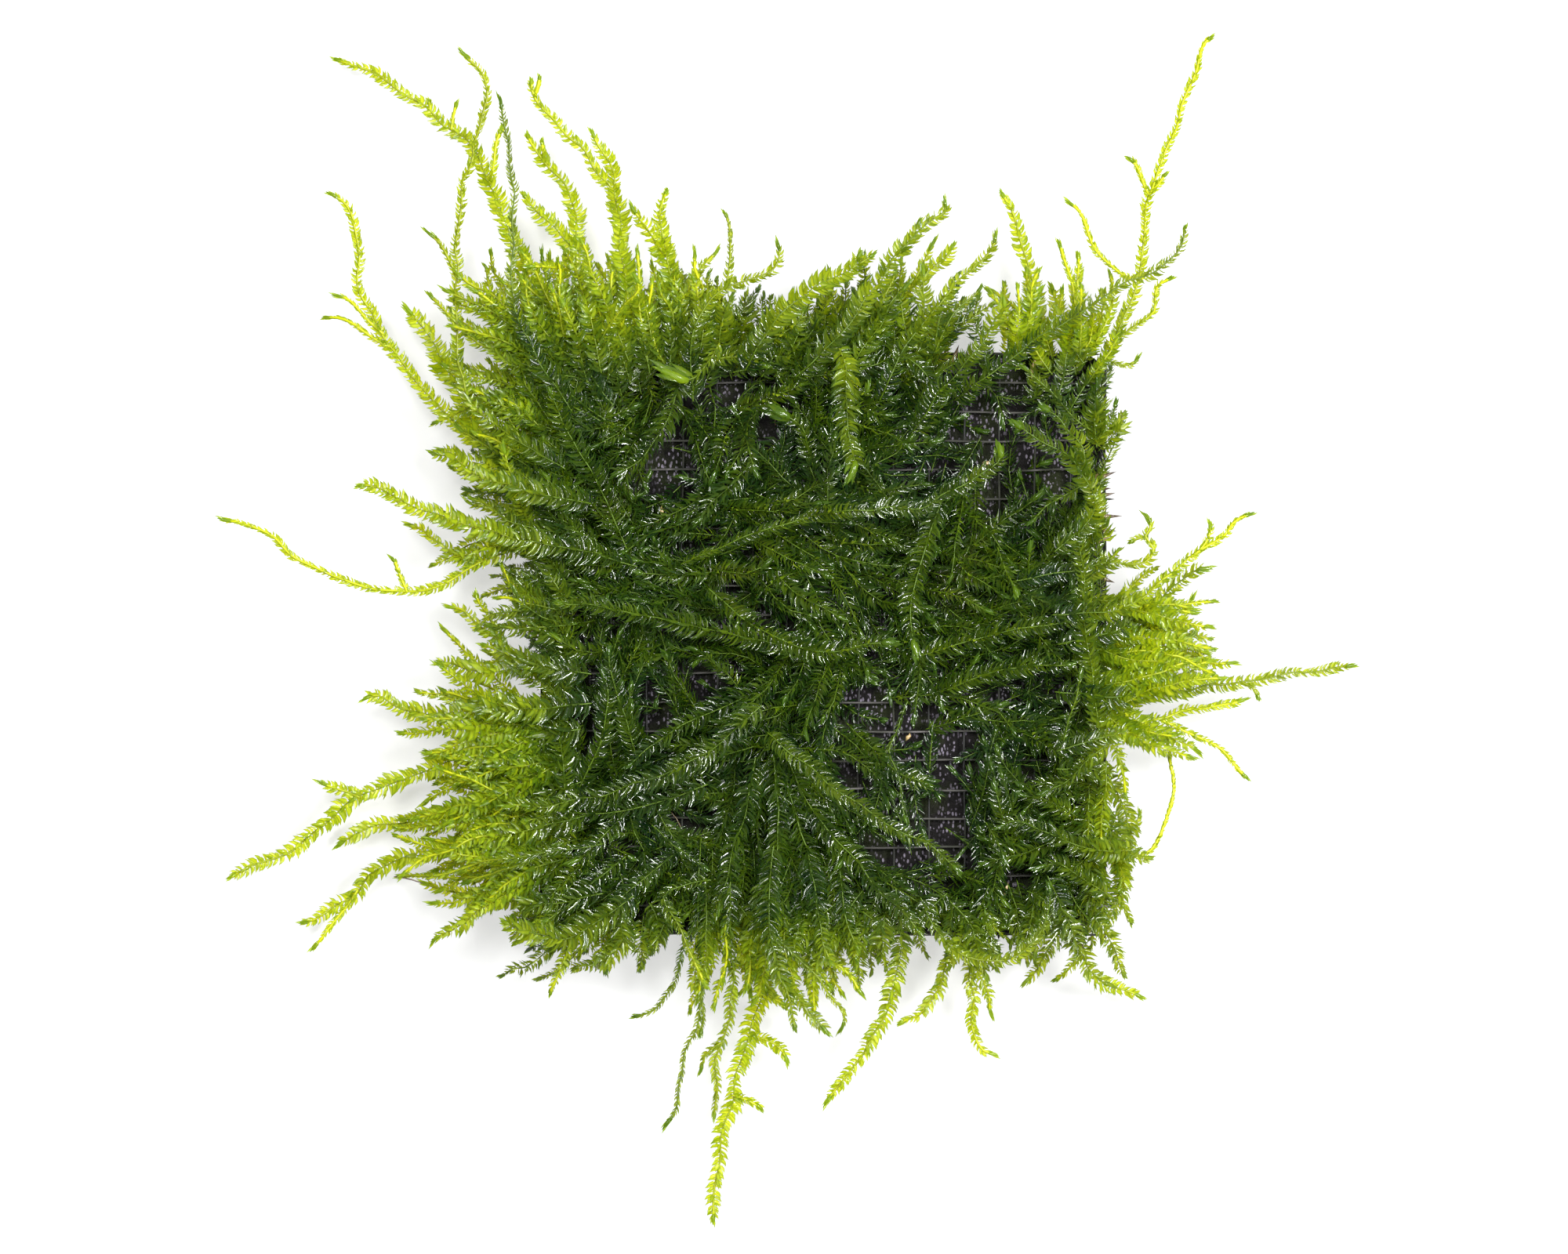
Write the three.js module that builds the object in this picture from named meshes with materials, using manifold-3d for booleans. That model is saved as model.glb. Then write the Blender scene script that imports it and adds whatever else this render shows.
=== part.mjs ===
// A square growing pad of spiky moss: a black fibre mat, the steel wire mesh laid over it, and the
// moss itself, low cushions on the mesh with long leafy fronds that spread past all four edges.
// Millimetres, +Z up. The origin is the middle of the mat's underside, +Y points to the pad's far edge.

import * as THREE from 'three';
import { mergeVertices } from 'three/addons/utils/BufferGeometryUtils.js';
import Module from 'manifold-3d';

const wasm = await Module();
wasm.setup();

// The mat
const MAT_WIDTH = 50;
const MAT_DEPTH = 51.5;
const MAT_THICK = 5.2;
const MAT_CORNER = 2.2;
const MAT_BEVEL = 0.45;
const MAT_FRAY = 0.25;
const FRAYS_PER_SIDE = 8;
const FRAY_TURN = 2.7;
const SIDE_TURN = 1.9;

// The wire mesh. Every second wire is a solid here: the ones between are too fine to be worth a solid.
const WIRE = 0.35;
const WIRES_ACROSS = 9;
const WIRES_ALONG = 11;
const WIRE_STUB = 0.9;
const WIRE_INSET = 2;
const FIT_GAP = 0.3;

// The moss
const CUSHION_SPIKES = 12;
const SIDE_GAP = 1;
const FROND_STEP = 2;
const LEAFY_FROM = 0.95;
const NARROW = 0.52;
const LEAF_SWEEP = 0.75;
const SWEEP_OF_HALF = 0.6;
const TIP_WIDTH = 0.45;
const TIP_THICK = 0.6;
const THICK_OF_WIDTH = 0.4;
const THINNEST = 0.5;
const THICKEST = 1.0;
const RIDGE_SHARE = 0.6;
const LAY_GAP = 0.42;
const STEEPEST = 0.85;
const SURFACE_GAP = 0.25;
const EDGE_MARGIN = 1.6;
const MERGE_WITHIN = 1e-5;

const MESH_BOTTOM = MAT_THICK + FIT_GAP;
const MESH_TOP = MESH_BOTTOM + WIRE;

// Colours, from the shaded middle of the pad to the lit tips outside it
const MOSS_DARK = new THREE.Color(0x2f4a14);
const MOSS_LIGHT = new THREE.Color(0xa9bf2f);
const LIGHT_FROM = 20;
const LIGHT_OVER = 26;

// Moss cushions: centre, half lengths across and along, how high the middle stands above the mesh
const CUSHIONS = [
  { name: 'cushion_northwest', at: [-21.2, 16], half: [5.1, 9.2], rise: 3.4 },
  { name: 'cushion_west', at: [-21, -2.5], half: [5.2, 8.2], rise: 3.2 },
  { name: 'cushion_southwest', at: [-21.2, -18.6], half: [5.1, 6.8], rise: 3.0 },
  { name: 'cushion_north', at: [0.5, 23.8], half: [10.4, 2.8], rise: 3.2 },
  { name: 'cushion_middle', at: [-3.8, 11], half: [10.6, 7.8], rise: 4.4 },
  { name: 'cushion_east', at: [15.4, 3.6], half: [9.2, 6.8], rise: 3.6 },
  { name: 'cushion_hub', at: [-5.6, -7.8], half: [9.2, 8.2], rise: 4.6 },
  { name: 'cushion_south', at: [-2.2, -21.5], half: [11.6, 4.1], rise: 3.2 },
  { name: 'cushion_southeast', at: [18.8, -15.6], half: [5.6, 9.4], rise: 3.2 },
];

// Fronds, lowest first, since each is laid over the ones before it. A route runs from the root to
// the tip; rise gives the height wanted at the root, the middle and the tip, width the leafy width
// at the same places. A twig starts on its frond and has the height wanted at its tip.
const FRONDS = [
  { name: 'frond_far_northwest', rise: [8.5, 5, 1.2], width: [3.2, 2.0, 0.6],
    route: [[-22.5, 25.5], [-24.5, 29.5], [-27.4, 35.6], [-29.5, 40.8], [-31.2, 44.2], [-33.4, 46.1],
      [-37.8, 49.4], [-39.9, 50.8], [-44.1, 52.3]],
    twigs: [
      { to: 2.6, width: [0.9, 0.8, 0.6], route: [[-33, 45.8], [-32.8, 47.2], [-32.5, 48.4]] },
      { to: 2.2, width: [0.8, 0.7, 0.5], route: [[-34.9, 47.2], [-34.9, 48.6]] },
      { to: 4, width: [1.2, 1, 0.7], route: [[-29.6, 40.9], [-28.9, 44], [-28.4, 46.6]] }] },
  { name: 'frond_forked_north', rise: [7.5, 3.6, 2], width: [2.2, 1.7, 0.8],
    route: [[-17.2, 25.5], [-17.6, 30], [-18, 36.3], [-19.1, 40.8], [-20.8, 43.1], [-22.4, 45.1],
      [-24.6, 47.2], [-25.7, 48.9], [-26.1, 50.7]],
    twigs: [{ to: 2.4, width: [0.7, 0.6, 0.5], route: [[-25.6, 48.8], [-25.2, 50], [-25.1, 50.9]] }] },
  { name: 'frond_branched_north', rise: [8, 5, 2.6], width: [2.8, 2.3, 0.7],
    route: [[-19.6, 24], [-20.6, 29], [-21.7, 34.9], [-22, 38.3], [-22.8, 40.6], [-24.3, 42.4],
      [-25.5, 43.8], [-26.4, 45.6]],
    twigs: [
      { to: 3, width: [1, 0.8, 0.6], route: [[-24.5, 42.6], [-25, 44.9]] },
      { to: 3, width: [2.4, 2.2, 1], route: [[-21.8, 34.9], [-24.3, 37.3], [-26.7, 40.3]] },
      { to: 3, width: [1.8, 1.6, 0.8], route: [[-21.7, 33.1], [-24.3, 33.4], [-26.6, 33.2]] }] },
  { name: 'frond_hooked_west', rise: [7, 4, 2], width: [3, 1.7, 0.6],
    route: [[-23, 12.5], [-28.5, 16.4], [-34, 21], [-37.8, 25.6], [-39.6, 28.4], [-41, 31.1],
      [-41.4, 34], [-41.3, 36.6], [-42.3, 38.6], [-44.2, 40.5]],
    twigs: [
      { to: 2.4, width: [1, 0.8, 0.6], route: [[-39.1, 27.6], [-40.5, 28.9], [-42.3, 30.6], [-44, 31.3]] },
      { to: 2, width: [1.1, 0.8, 0.6], route: [[-38.4, 26.4], [-40.3, 27.4], [-42, 28.6], [-44.6, 29.1]] },
      { to: 3.6, width: [3, 3, 1.1], route: [[-30.2, 17.8], [-32.6, 23], [-35.4, 28], [-37.7, 30.3]] }] },
  { name: 'frond_thin_west', rise: [7.5, 5.5, 3.6], width: [2, 1.1, 0.7],
    route: [[-22.5, 8.5], [-27.1, 8.5], [-29.7, 7.5], [-33.3, 5.6], [-35.6, 4.7], [-38, 4.7],
      [-40.4, 5.1], [-43.6, 6.1], [-46.8, 7.7], [-48.8, 9.5], [-51.6, 10.7], [-54, 11.4]],
    twigs: [
      { to: 5, width: [0.9, 0.8, 0.6], route: [[-36.9, 4.7], [-37.6, 6.5], [-38.6, 8.1]] },
      { to: 3.2, width: [1.9, 1.7, 0.9], route: [[-29.9, 7.4], [-32.4, 7.7], [-34.6, 9.5],
        [-37.3, 10.8]] }] },
  { name: 'frond_long_southwest', rise: [7.5, 3.6, 1.8], width: [3.2, 2.3, 1.1],
    route: [[-21.5, -7.5], [-27.1, -8.2], [-31.3, -9.6], [-35.4, -11.3], [-38.6, -12.5], [-41.6, -13.7],
      [-43.8, -15.5], [-45.6, -17.1], [-47.6, -18.5], [-50.6, -19.7], [-53.3, -20.9]],
    twigs: [{ to: 3, width: [1.8, 1.4, 0.8], route: [[-41.2, -13.6], [-43.2, -12.8], [-45.2, -12]] }] },
  { name: 'frond_second_southwest', rise: [7.5, 3.8, 1.2], width: [3.4, 2.4, 1.2],
    route: [[-21, -12], [-26.4, -13.8], [-31.3, -14.8], [-35.4, -15.6], [-38, -15.9], [-41.2, -16.6],
      [-43.8, -18.4]],
    twigs: [] },
  { name: 'frond_forked_southwest', rise: [7.5, 4, 1.6], width: [3.2, 2.4, 0.8],
    route: [[-21, -15.1], [-27.8, -16.8], [-31.9, -17.6], [-35.4, -18.6], [-38.2, -19.3], [-40.3, -20.6],
      [-41.2, -21.7], [-42.8, -23.1], [-44.8, -24.2], [-46.9, -24.9]],
    twigs: [{ to: 1.5, width: [1.1, 0.9, 0.7], route: [[-41.4, -21.9], [-43.2, -24.4], [-44.6, -26.3],
      [-46, -27.4]] }] },
  { name: 'frond_broad_southwest', rise: [7.5, 3.4, 2.6], width: [2.6, 2.2, 0.8],
    route: [[-19.5, -22], [-24.3, -22.9], [-27.6, -22.7], [-30.6, -22.4], [-33.6, -21.8], [-36.1, -21]],
    twigs: [] },
  { name: 'frond_corner_southwest', rise: [7.5, 4, 1.8], width: [3.8, 3.4, 1.4],
    route: [[-16.8, -22.2], [-20.1, -24.6], [-22.9, -26], [-25.7, -25.4], [-28.7, -24.4]],
    twigs: [{ to: 1.4, width: [2.8, 2.6, 1], route: [[-18, -23.2], [-17.8, -26.6], [-20.3, -28.2],
      [-22.7, -29]] }] },
  { name: 'frond_longest_south', rise: [8, 3.4, 1.4], width: [3, 2.3, 0.9],
    route: [[-5.4, -20.8], [-5.2, -24], [-5, -27.6], [-5.3, -30.8], [-6.2, -33.3], [-6.9, -35.6],
      [-7.8, -38.8], [-8.3, -41.3], [-9, -43.9], [-9.4, -46.7], [-9.7, -49.7], [-9.9, -52.1]],
    twigs: [
      { to: 2, width: [1.2, 1.2, 0.8], route: [[-8, -40.1], [-6.6, -40.6], [-5, -41.6]] },
      { to: 3, width: [1.4, 1.6, 0.8], route: [[-6.7, -34.7], [-4.6, -35.3], [-3.3, -36.5], [-3, -37.7]] },
      { to: 3, width: [1.4, 1.2, 0.8], route: [[-5.3, -30.9], [-3.2, -32.1]] }] },
  { name: 'frond_comb_south', rise: [7.5, 3.2, 2], width: [2.2, 1.7, 0.8],
    route: [[14.6, -21.4], [13.4, -25], [13.1, -29.2], [13.3, -31.5], [13.1, -33.5], [13.8, -35.5],
      [15.8, -36.8]],
    twigs: [
      { to: 2.4, width: [1.6, 1.4, 0.8], route: [[13.2, -28], [14.4, -30.4], [15.1, -33.8]] },
      { to: 3, width: [1.8, 1.8, 0.9], route: [[13.2, -26.4], [11, -28], [10.2, -30.8], [8.5, -32.8],
        [6.4, -33.8]] }] },
  { name: 'frond_corner_southeast', rise: [7.5, 3.8, 2.4], width: [2.8, 2.5, 0.9],
    route: [[19.8, -20.5], [21.5, -24.2], [22.8, -27.3], [24.3, -29.6], [26.4, -30.7], [29, -31.7]],
    twigs: [
      { to: 2.4, width: [2.2, 1.9, 0.9], route: [[21.4, -24.1], [20.5, -26], [19.1, -28.5],
        [17.7, -30.6]] },
      { to: 2.2, width: [1.4, 1.2, 0.8], route: [[22.9, -27.4], [21.5, -29], [20.2, -30.2]] }] },
  { name: 'frond_hanging_east', rise: [7.5, 2.6, 1.6], width: [2.6, 2.4, 1.4],
    route: [[20.6, -11], [24.4, -11.2], [26.2, -13.4], [27, -16.4], [26.8, -19.3], [26, -22.8],
      [24.9, -25.4]],
    twigs: [
      { to: 3.4, width: [0.8, 0.7, 0.6], route: [[26.9, -18.8], [28.6, -18.6], [29.6, -17.5],
        [30.6, -15.6], [31, -12.7], [30.9, -9.4]] },
      { to: 3, width: [0.8, 0.7, 0.6], route: [[27, -17], [28, -15.8], [28.2, -14.4]] },
      { to: 1.4, width: [1.2, 1, 0.7], route: [[26.2, -22.6], [27.6, -25.1]] }] },
  { name: 'frond_bud_east', rise: [7.8, 4.5, 3], width: [3, 2.2, 0.9],
    route: [[22, -1.4], [26.4, -1.6], [29.9, -1.4], [32.6, -1.2], [34.3, -0.3]],
    twigs: [
      { to: 3.6, width: [1.8, 1.4, 0.8], route: [[32.4, -1.2], [35.2, -1.8], [37.2, -1.6]] },
      { to: 2.2, width: [2, 1.3, 0.7], route: [[30, -1.4], [31.4, 0.2], [32.2, 2.6], [33.1, 4.8]] }] },
  { name: 'frond_upright_northeast', rise: [7.6, 3.4, 2], width: [2.6, 2.2, 0.6],
    route: [[18.6, 21.4], [19.4, 26.5], [18.9, 30.1], [18.5, 32.7], [17.8, 35.1], [16.9, 38.1],
      [15.7, 40.6]],
    twigs: [
      { to: 3, width: [0.9, 0.8, 0.6], route: [[19.3, 27.3], [17.8, 28.9], [15.9, 30.9], [14.3, 31.7]] },
      { to: 2.6, width: [2.2, 2, 0.9], route: [[19.5, 26.6], [20.7, 30], [20, 32.4]] }] },
  { name: 'frond_long_northeast', rise: [7.6, 5, 6], width: [2, 1.3, 0.6],
    route: [[21, 19.4], [23.3, 23.1], [25, 25.5], [26.4, 28.3], [27.4, 30.7], [28.1, 33.1], [28.5, 36],
      [28.6, 39], [29.4, 41], [30.4, 43.8], [31.5, 46.6], [32.6, 49.7], [33.5, 52.6], [34.9, 54]],
    twigs: [
      { to: 6, width: [1, 0.9, 0.8], route: [[28.9, 39.8], [27.8, 42.2], [26.5, 43.3]] },
      { to: 6, width: [1, 0.9, 0.6], route: [[29.1, 40.2], [30.6, 41.9]] },
      { to: 4.4, width: [1, 0.9, 0.6], route: [[27.9, 32.4], [26.4, 32.8], [24.7, 34.3], [23.5, 36.5],
        [22.6, 38.3], [21.4, 39.6]] },
      { to: 3.4, width: [1.2, 1, 0.7], route: [[25.8, 27], [27.6, 28.1], [29.2, 29.5], [29.6, 31.4],
        [31.3, 33]] },
      { to: 3.2, width: [1, 0.8, 0.7], route: [[24.8, 25.2], [27, 24.7], [28.3, 25.9]] }] },
  { name: 'frond_short_northeast', rise: [8, 6.2, 5.4], width: [2.4, 1.8, 0.7],
    route: [[20.6, 21], [21.9, 27.1], [22.4, 30.5], [22.6, 33.1], [22.5, 35]],
    twigs: [{ to: 5.4, width: [1.1, 1, 0.7], route: [[22.3, 30.1], [21.7, 33.3], [20.7, 36]] }] },
  { name: 'frond_low_east', rise: [8, 5, 4], width: [2.2, 1.5, 0.7],
    route: [[20.6, -9.4], [25.7, -7.9], [29.9, -6.5], [33.6, -5.7], [35.6, -5.3], [38, -4.8]],
    twigs: [
      { to: 3, width: [1.1, 0.9, 0.7], route: [[29.7, -6.6], [32.6, -7.9], [34.8, -9.1], [36.8, -10.7],
        [37.7, -12.2]] }] },
  { name: 'frond_club_east', rise: [8.6, 6.4, 5], width: [3, 2.3, 1.2],
    route: [[20.8, 0], [26.4, 1.5], [29.8, 3.9], [31.6, 5.5], [33.2, 6.6], [34.7, 6.7]],
    twigs: [] },
  { name: 'frond_longest_east', rise: [9, 5.4, 3], width: [3, 1.8, 0.7],
    route: [[20.5, -4.2], [25.7, -4.6], [28.8, -4.4], [32.8, -3.9], [35.8, -3.5], [38.8, -3.1], [41.9, -2.6],
      [44.7, -2.2], [47.7, -1.9]],
    twigs: [{ to: 4.4, width: [0.9, 0.8, 0.8], route: [[37.2, -3.4], [38.4, -4.2], [38.9, -5.1]] }] },
  { name: 'frond_broad_west', rise: [8, 5, 3.4], width: [3.2, 2.8, 0.8],
    route: [[-20.5, -5.2], [-27.1, -5.8], [-31.3, -5.8], [-34.7, -6.3], [-38, -5.4], [-39.6, -4.7],
      [-41.6, -4.9]],
    twigs: [] },
  { name: 'frond_crook_west', rise: [8.4, 5, 4], width: [3, 2.2, 0.7],
    route: [[-20.5, -2.6], [-25, -1.9], [-27.8, -0.7], [-29.2, 0.7], [-30.6, 1.9], [-32.2, 3.1], [-34, 3.5]],
    twigs: [
      { to: 4.6, width: [1.6, 1.6, 0.9], route: [[-28.3, -0.2], [-29.5, 2.2], [-31, 4.9]] },
      { to: 4, width: [2.6, 2.8, 1.3], route: [[-25.2, -1.8], [-29.4, -2.4], [-32.2, -2.1],
        [-34.5, -1.4]] }] },
  { name: 'frond_tall_northwest', rise: [8.6, 6.6, 5], width: [2.2, 1.3, 0.7],
    route: [[-22.8, 15.5], [-27.6, 18.4], [-31.3, 21.6], [-32.3, 25.8], [-32.5, 29.5], [-32.5, 32.8],
      [-32.3, 37.3], [-31.7, 41.3], [-30.6, 45.1], [-29.8, 49.2], [-29.9, 50.2], [-30.9, 51.4],
      [-32.5, 52.8]],
    twigs: [
      { to: 6, width: [1.1, 0.9, 0.6], route: [[-32.5, 32.6], [-33.4, 34.7], [-35.5, 37.2]] },
      { to: 5, width: [1, 0.9, 0.6], route: [[-32.4, 27.6], [-33.2, 29.3], [-35.1, 31.3]] }] },
  { name: 'frond_spire_north', rise: [8.6, 7, 6], width: [2.8, 2.4, 0.6],
    route: [[-15.4, 24.5], [-17.2, 30.7], [-17.9, 34.9], [-18.1, 38.3], [-18.6, 41.5], [-19.6, 44],
      [-20.8, 45.7]],
    twigs: [] },
  { name: 'frond_short_north', rise: [8.6, 6, 4.4], width: [3, 2.4, 0.8],
    route: [[-11.4, 24.2], [-13.1, 31.4], [-14, 34.9], [-14.4, 38], [-13.8, 40.8]],
    twigs: [{ to: 5, width: [2.4, 2, 0.9], route: [[-13.8, 34.2], [-15.8, 36.9], [-17.2, 39.4]] }] },
  { name: 'frond_leaning_north', rise: [8.4, 6, 5], width: [3, 2.4, 0.8],
    route: [[1.6, 23], [5.6, 29.3], [7.6, 31.4], [9.5, 33.1], [10.9, 34.2], [11.7, 35.9]],
    twigs: [{ to: 5.4, width: [1.4, 1.2, 0.8], route: [[7.8, 31.6], [9.2, 34.4], [10.1, 36.6]] }] },
  { name: 'frond_narrow_south', rise: [8.8, 6.6, 4.6], width: [2, 1.5, 0.6],
    route: [[-8.2, -21], [-8.2, -25.6], [-8, -29.7], [-8.3, -33.1], [-9.2, -35.8], [-9.6, -37.9],
      [-9.4, -40.7], [-9.9, -42.4]],
    twigs: [{ to: 5, width: [1.1, 0.9, 0.6], route: [[-8.9, -35.2], [-10.3, -36.4], [-11.3, -38.3]] }] },
  { name: 'frond_slanting_south', rise: [8.4, 5.6, 4], width: [2.6, 2.1, 0.7],
    route: [[6.4, -21.6], [6.9, -25.6], [6.5, -29], [5.6, -32.5], [4.2, -35.1], [3, -37.2], [1.2, -39.3],
      [-0.2, -41.4]],
    twigs: [] },
  { name: 'frond_thin_southwest', rise: [9, 6.4, 4.4], width: [1.4, 1, 0.7],
    route: [[-19.5, -17.6], [-24.5, -18.4], [-27.8, -18.8], [-31.7, -19.7], [-34.7, -20.5], [-38, -20.6]],
    twigs: [{ to: 5, width: [0.9, 0.8, 0.7], route: [[-25.4, -18.6], [-27.7, -19.9], [-30.6, -20.5],
      [-32.2, -21.6]] }] },
  { name: 'frond_whip_south', rise: [9, 7.6, 5.6], width: [1.6, 1, 0.7],
    route: [[-10.8, -17.2], [-11.1, -22.8], [-10.9, -27.6], [-10.8, -31.5], [-11.3, -34], [-12.2, -36.3],
      [-12.8, -38.8], [-13.1, -41.5], [-14.3, -43]],
    twigs: [
      { to: 6.4, width: [0.8, 0.7, 0.7], route: [[-10.8, -31.3], [-10.5, -33.4], [-11, -35.3]] },
      { to: 5.4, width: [1.2, 1, 0.7], route: [[-11, -23.5], [-12.2, -26.6], [-12.9, -29],
        [-14, -31.3], [-14.7, -32.4], [-17.4, -32.8]] }] },
  { name: 'frond_bunched_south', rise: [9.4, 8, 7], width: [2.6, 2.2, 1.2],
    route: [[-4.4, -17.8], [-4.8, -22], [-4.6, -25.9], [-4, -28.6], [-2.8, -30.8], [-0.8, -32.8],
      [0.6, -35.1]],
    twigs: [
      { to: 7, width: [1.6, 1.4, 0.9], route: [[-3.6, -29.4], [-2.9, -31.9], [-2.3, -34.3]] },
      { to: 8.4, width: [1.2, 0.9, 0.7], route: [[-4.6, -25.4], [-1.9, -28], [0.4, -30.6], [1.8, -32.8],
        [1.1, -34.4]] }] },
  { name: 'frond_high_west', rise: [10, 8, 5.4], width: [3, 2.6, 1.2],
    route: [[-20.5, 12.4], [-25.7, 13.4], [-28.5, 14.2], [-31.3, 15.4], [-33.3, 16.7], [-35.2, 17.1]],
    twigs: [] },
  { name: 'frond_comb_west', rise: [10, 9, 7], width: [3, 2.6, 1],
    route: [[-19.6, 8], [-26.4, 9.2], [-30.6, 10.3], [-33.6, 11.3], [-35.6, 11.9], [-38.6, 13.5],
      [-41.6, 14.1]],
    twigs: [] },
  { name: 'frond_dark_northwest', rise: [10.5, 9.4, 7.4], width: [2.4, 1.2, 0.6],
    route: [[-22.2, 20.6], [-25.4, 25.6], [-27.2, 29.6], [-27.5, 33.6], [-27.3, 38.4], [-27.6, 41.7],
      [-28.1, 46.1], [-29, 49]],
    twigs: [] },
  { name: 'frond_crooked_north', rise: [10.4, 10, 10], width: [2.4, 1.7, 0.8],
    route: [[-11.5, 21.5], [-11.6, 27], [-10.4, 29.9], [-8.4, 31.4], [-6.5, 32.4], [-4.4, 33.1],
      [-3.8, 34.3], [-4.2, 36.1]],
    twigs: [{ to: 8.6, width: [1.1, 1, 0.5], route: [[-8.6, 31.3], [-8.2, 34.6], [-8.3, 36.9],
      [-8.9, 38.8]] }] },
  { name: 'frond_hand_north', rise: [10.4, 11, 10], width: [3, 3, 1.4],
    route: [[-6.9, 24.2], [-4.2, 28.6], [-1.4, 31], [0.8, 32.4], [2.8, 33.3], [3.6, 35]],
    twigs: [{ to: 9.8, width: [1.6, 1.4, 1], route: [[2.4, 33.1], [4.7, 34.5]] }] },
  { name: 'frond_swept_north', rise: [10, 9.6, 9], width: [3.2, 2.3, 0.7],
    route: [[-2.4, 23.6], [1.4, 27.2], [4, 30.7], [5.9, 33.5], [7.5, 35.6], [9.5, 37.3], [10.9, 38.5],
      [10.5, 39.9]],
    twigs: [{ to: 9, width: [1.6, 1.4, 0.8], route: [[6.6, 34.4], [8, 36.3], [8.9, 37.8]] }] },
  { name: 'frond_feather_north', rise: [9.6, 9.4, 8.6], width: [2.3, 1.9, 0.6],
    route: [[5, 21.6], [7.6, 26.9], [9.4, 29], [11.5, 31.5], [13.1, 33.3], [15.1, 35.1], [15.1, 36.8]],
    twigs: [] },
  { name: 'frond_crossing_northeast', rise: [9.6, 10.4, 8.6], width: [2.6, 1.9, 0.6],
    route: [[11.6, 21.6], [14.6, 23.8], [17.4, 25.8], [18.9, 27.1], [20.8, 28.1], [22.8, 29.3],
      [25.4, 31.1], [27.8, 32.5], [30.2, 33.3], [31.5, 35.3], [32, 37.1]],
    twigs: [{ to: 4, width: [2.2, 2.2, 0.9], route: [[14.6, 23.8], [14.1, 26.4], [13.4, 29.2],
      [13.9, 31.6]] }] },
  { name: 'frond_forked_east', rise: [9.6, 8.6, 7.4], width: [2.6, 1.5, 0.7],
    route: [[20.2, 2.6], [24, 2.8], [26.4, 3.2], [28.8, 4.6], [30.4, 6], [32, 7.4], [33.6, 8.6],
      [34.4, 10.2], [34.1, 11.5]],
    twigs: [{ to: 5.4, width: [1, 0.9, 0.8], route: [[32.6, 7.8], [35.2, 9.5], [36.8, 11], [38.2, 11.9]] }] },
  { name: 'frond_curled_east', rise: [9.6, 9.4, 9.4], width: [2.4, 1.3, 0.7],
    route: [[17, 5.6], [21.8, 6.5], [24.8, 7.1], [27.1, 7.1], [28.9, 7.6], [29.4, 8.5], [28.5, 9.4],
      [28.9, 10.4], [28.5, 11.3], [27.7, 11.7]],
    twigs: [{ to: 9.2, width: [1, 1, 0.9], route: [[28.6, 9.3], [27.5, 9.4], [26.8, 8.7]] }] },
  { name: 'frond_arc_southeast', rise: [9.4, 10.6, 12], width: [1.7, 1.7, 0.7],
    route: [[8.6, -22.4], [10.2, -25.6], [12.2, -27.3], [14.6, -28], [17.4, -27.2], [19.2, -25.2],
      [20, -22.6], [19.7, -20.6]],
    twigs: [] },
  { name: 'frond_spiked_northeast', rise: [9.8, 11.6, 12.4], width: [2.7, 2.5, 1.2],
    route: [[7.8, 18.6], [10.4, 22.4], [12.2, 24.4], [13.9, 26.5], [15.1, 28.3], [15.9, 29.7],
      [15.6, 31.1]],
    twigs: [] },
  { name: 'frond_bright_middle', rise: [11.4, 12.2, 13.4], width: [3, 2.9, 1.4],
    route: [[1.4, 26], [2.1, 24], [1.9, 21.4], [2.4, 18.2], [2.6, 15.6], [2.1, 13.7]],
    twigs: [] },
  { name: 'frond_crossing_middle', rise: [10.8, 12.6, 13], width: [1.2, 2.2, 1.3],
    route: [[-12.5, 7.1], [-7.6, 9.2], [-3.5, 10.6], [0.7, 11.6], [4.8, 11.9], [9, 12.3], [13.2, 14.7],
      [15.8, 16.5], [15.3, 17.9]],
    twigs: [] },
  { name: 'frond_pale_east', rise: [9.4, 11.4, 12.4], width: [2.7, 2.2, 0.9],
    route: [[20.4, 8.2], [23.8, 11.6], [23, 15], [20.4, 17.3], [18.2, 18.5], [16.3, 20.1]],
    twigs: [{ to: 12, width: [2, 1.6, 0.9], route: [[23.2, 14.4], [22.6, 17.6], [20.9, 19.7],
      [18.9, 21.2]] }] },
  { name: 'frond_hub_southeast', rise: [12, 12.4, 12], width: [2.4, 1.9, 1.2],
    route: [[-4.9, -7.8], [-0.7, -11.3], [3.5, -14.4], [7.6, -16.9], [10.4, -18.3], [12.2, -20.6]],
    twigs: [] },
  { name: 'frond_hub_west', rise: [12.4, 12.6, 9.4], width: [2.6, 2.4, 0.9],
    route: [[-5.5, -5.4], [-10.4, -9.6], [-17.4, -12.6], [-22.9, -14], [-28.5, -14.4]],
    twigs: [] },
];

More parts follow.
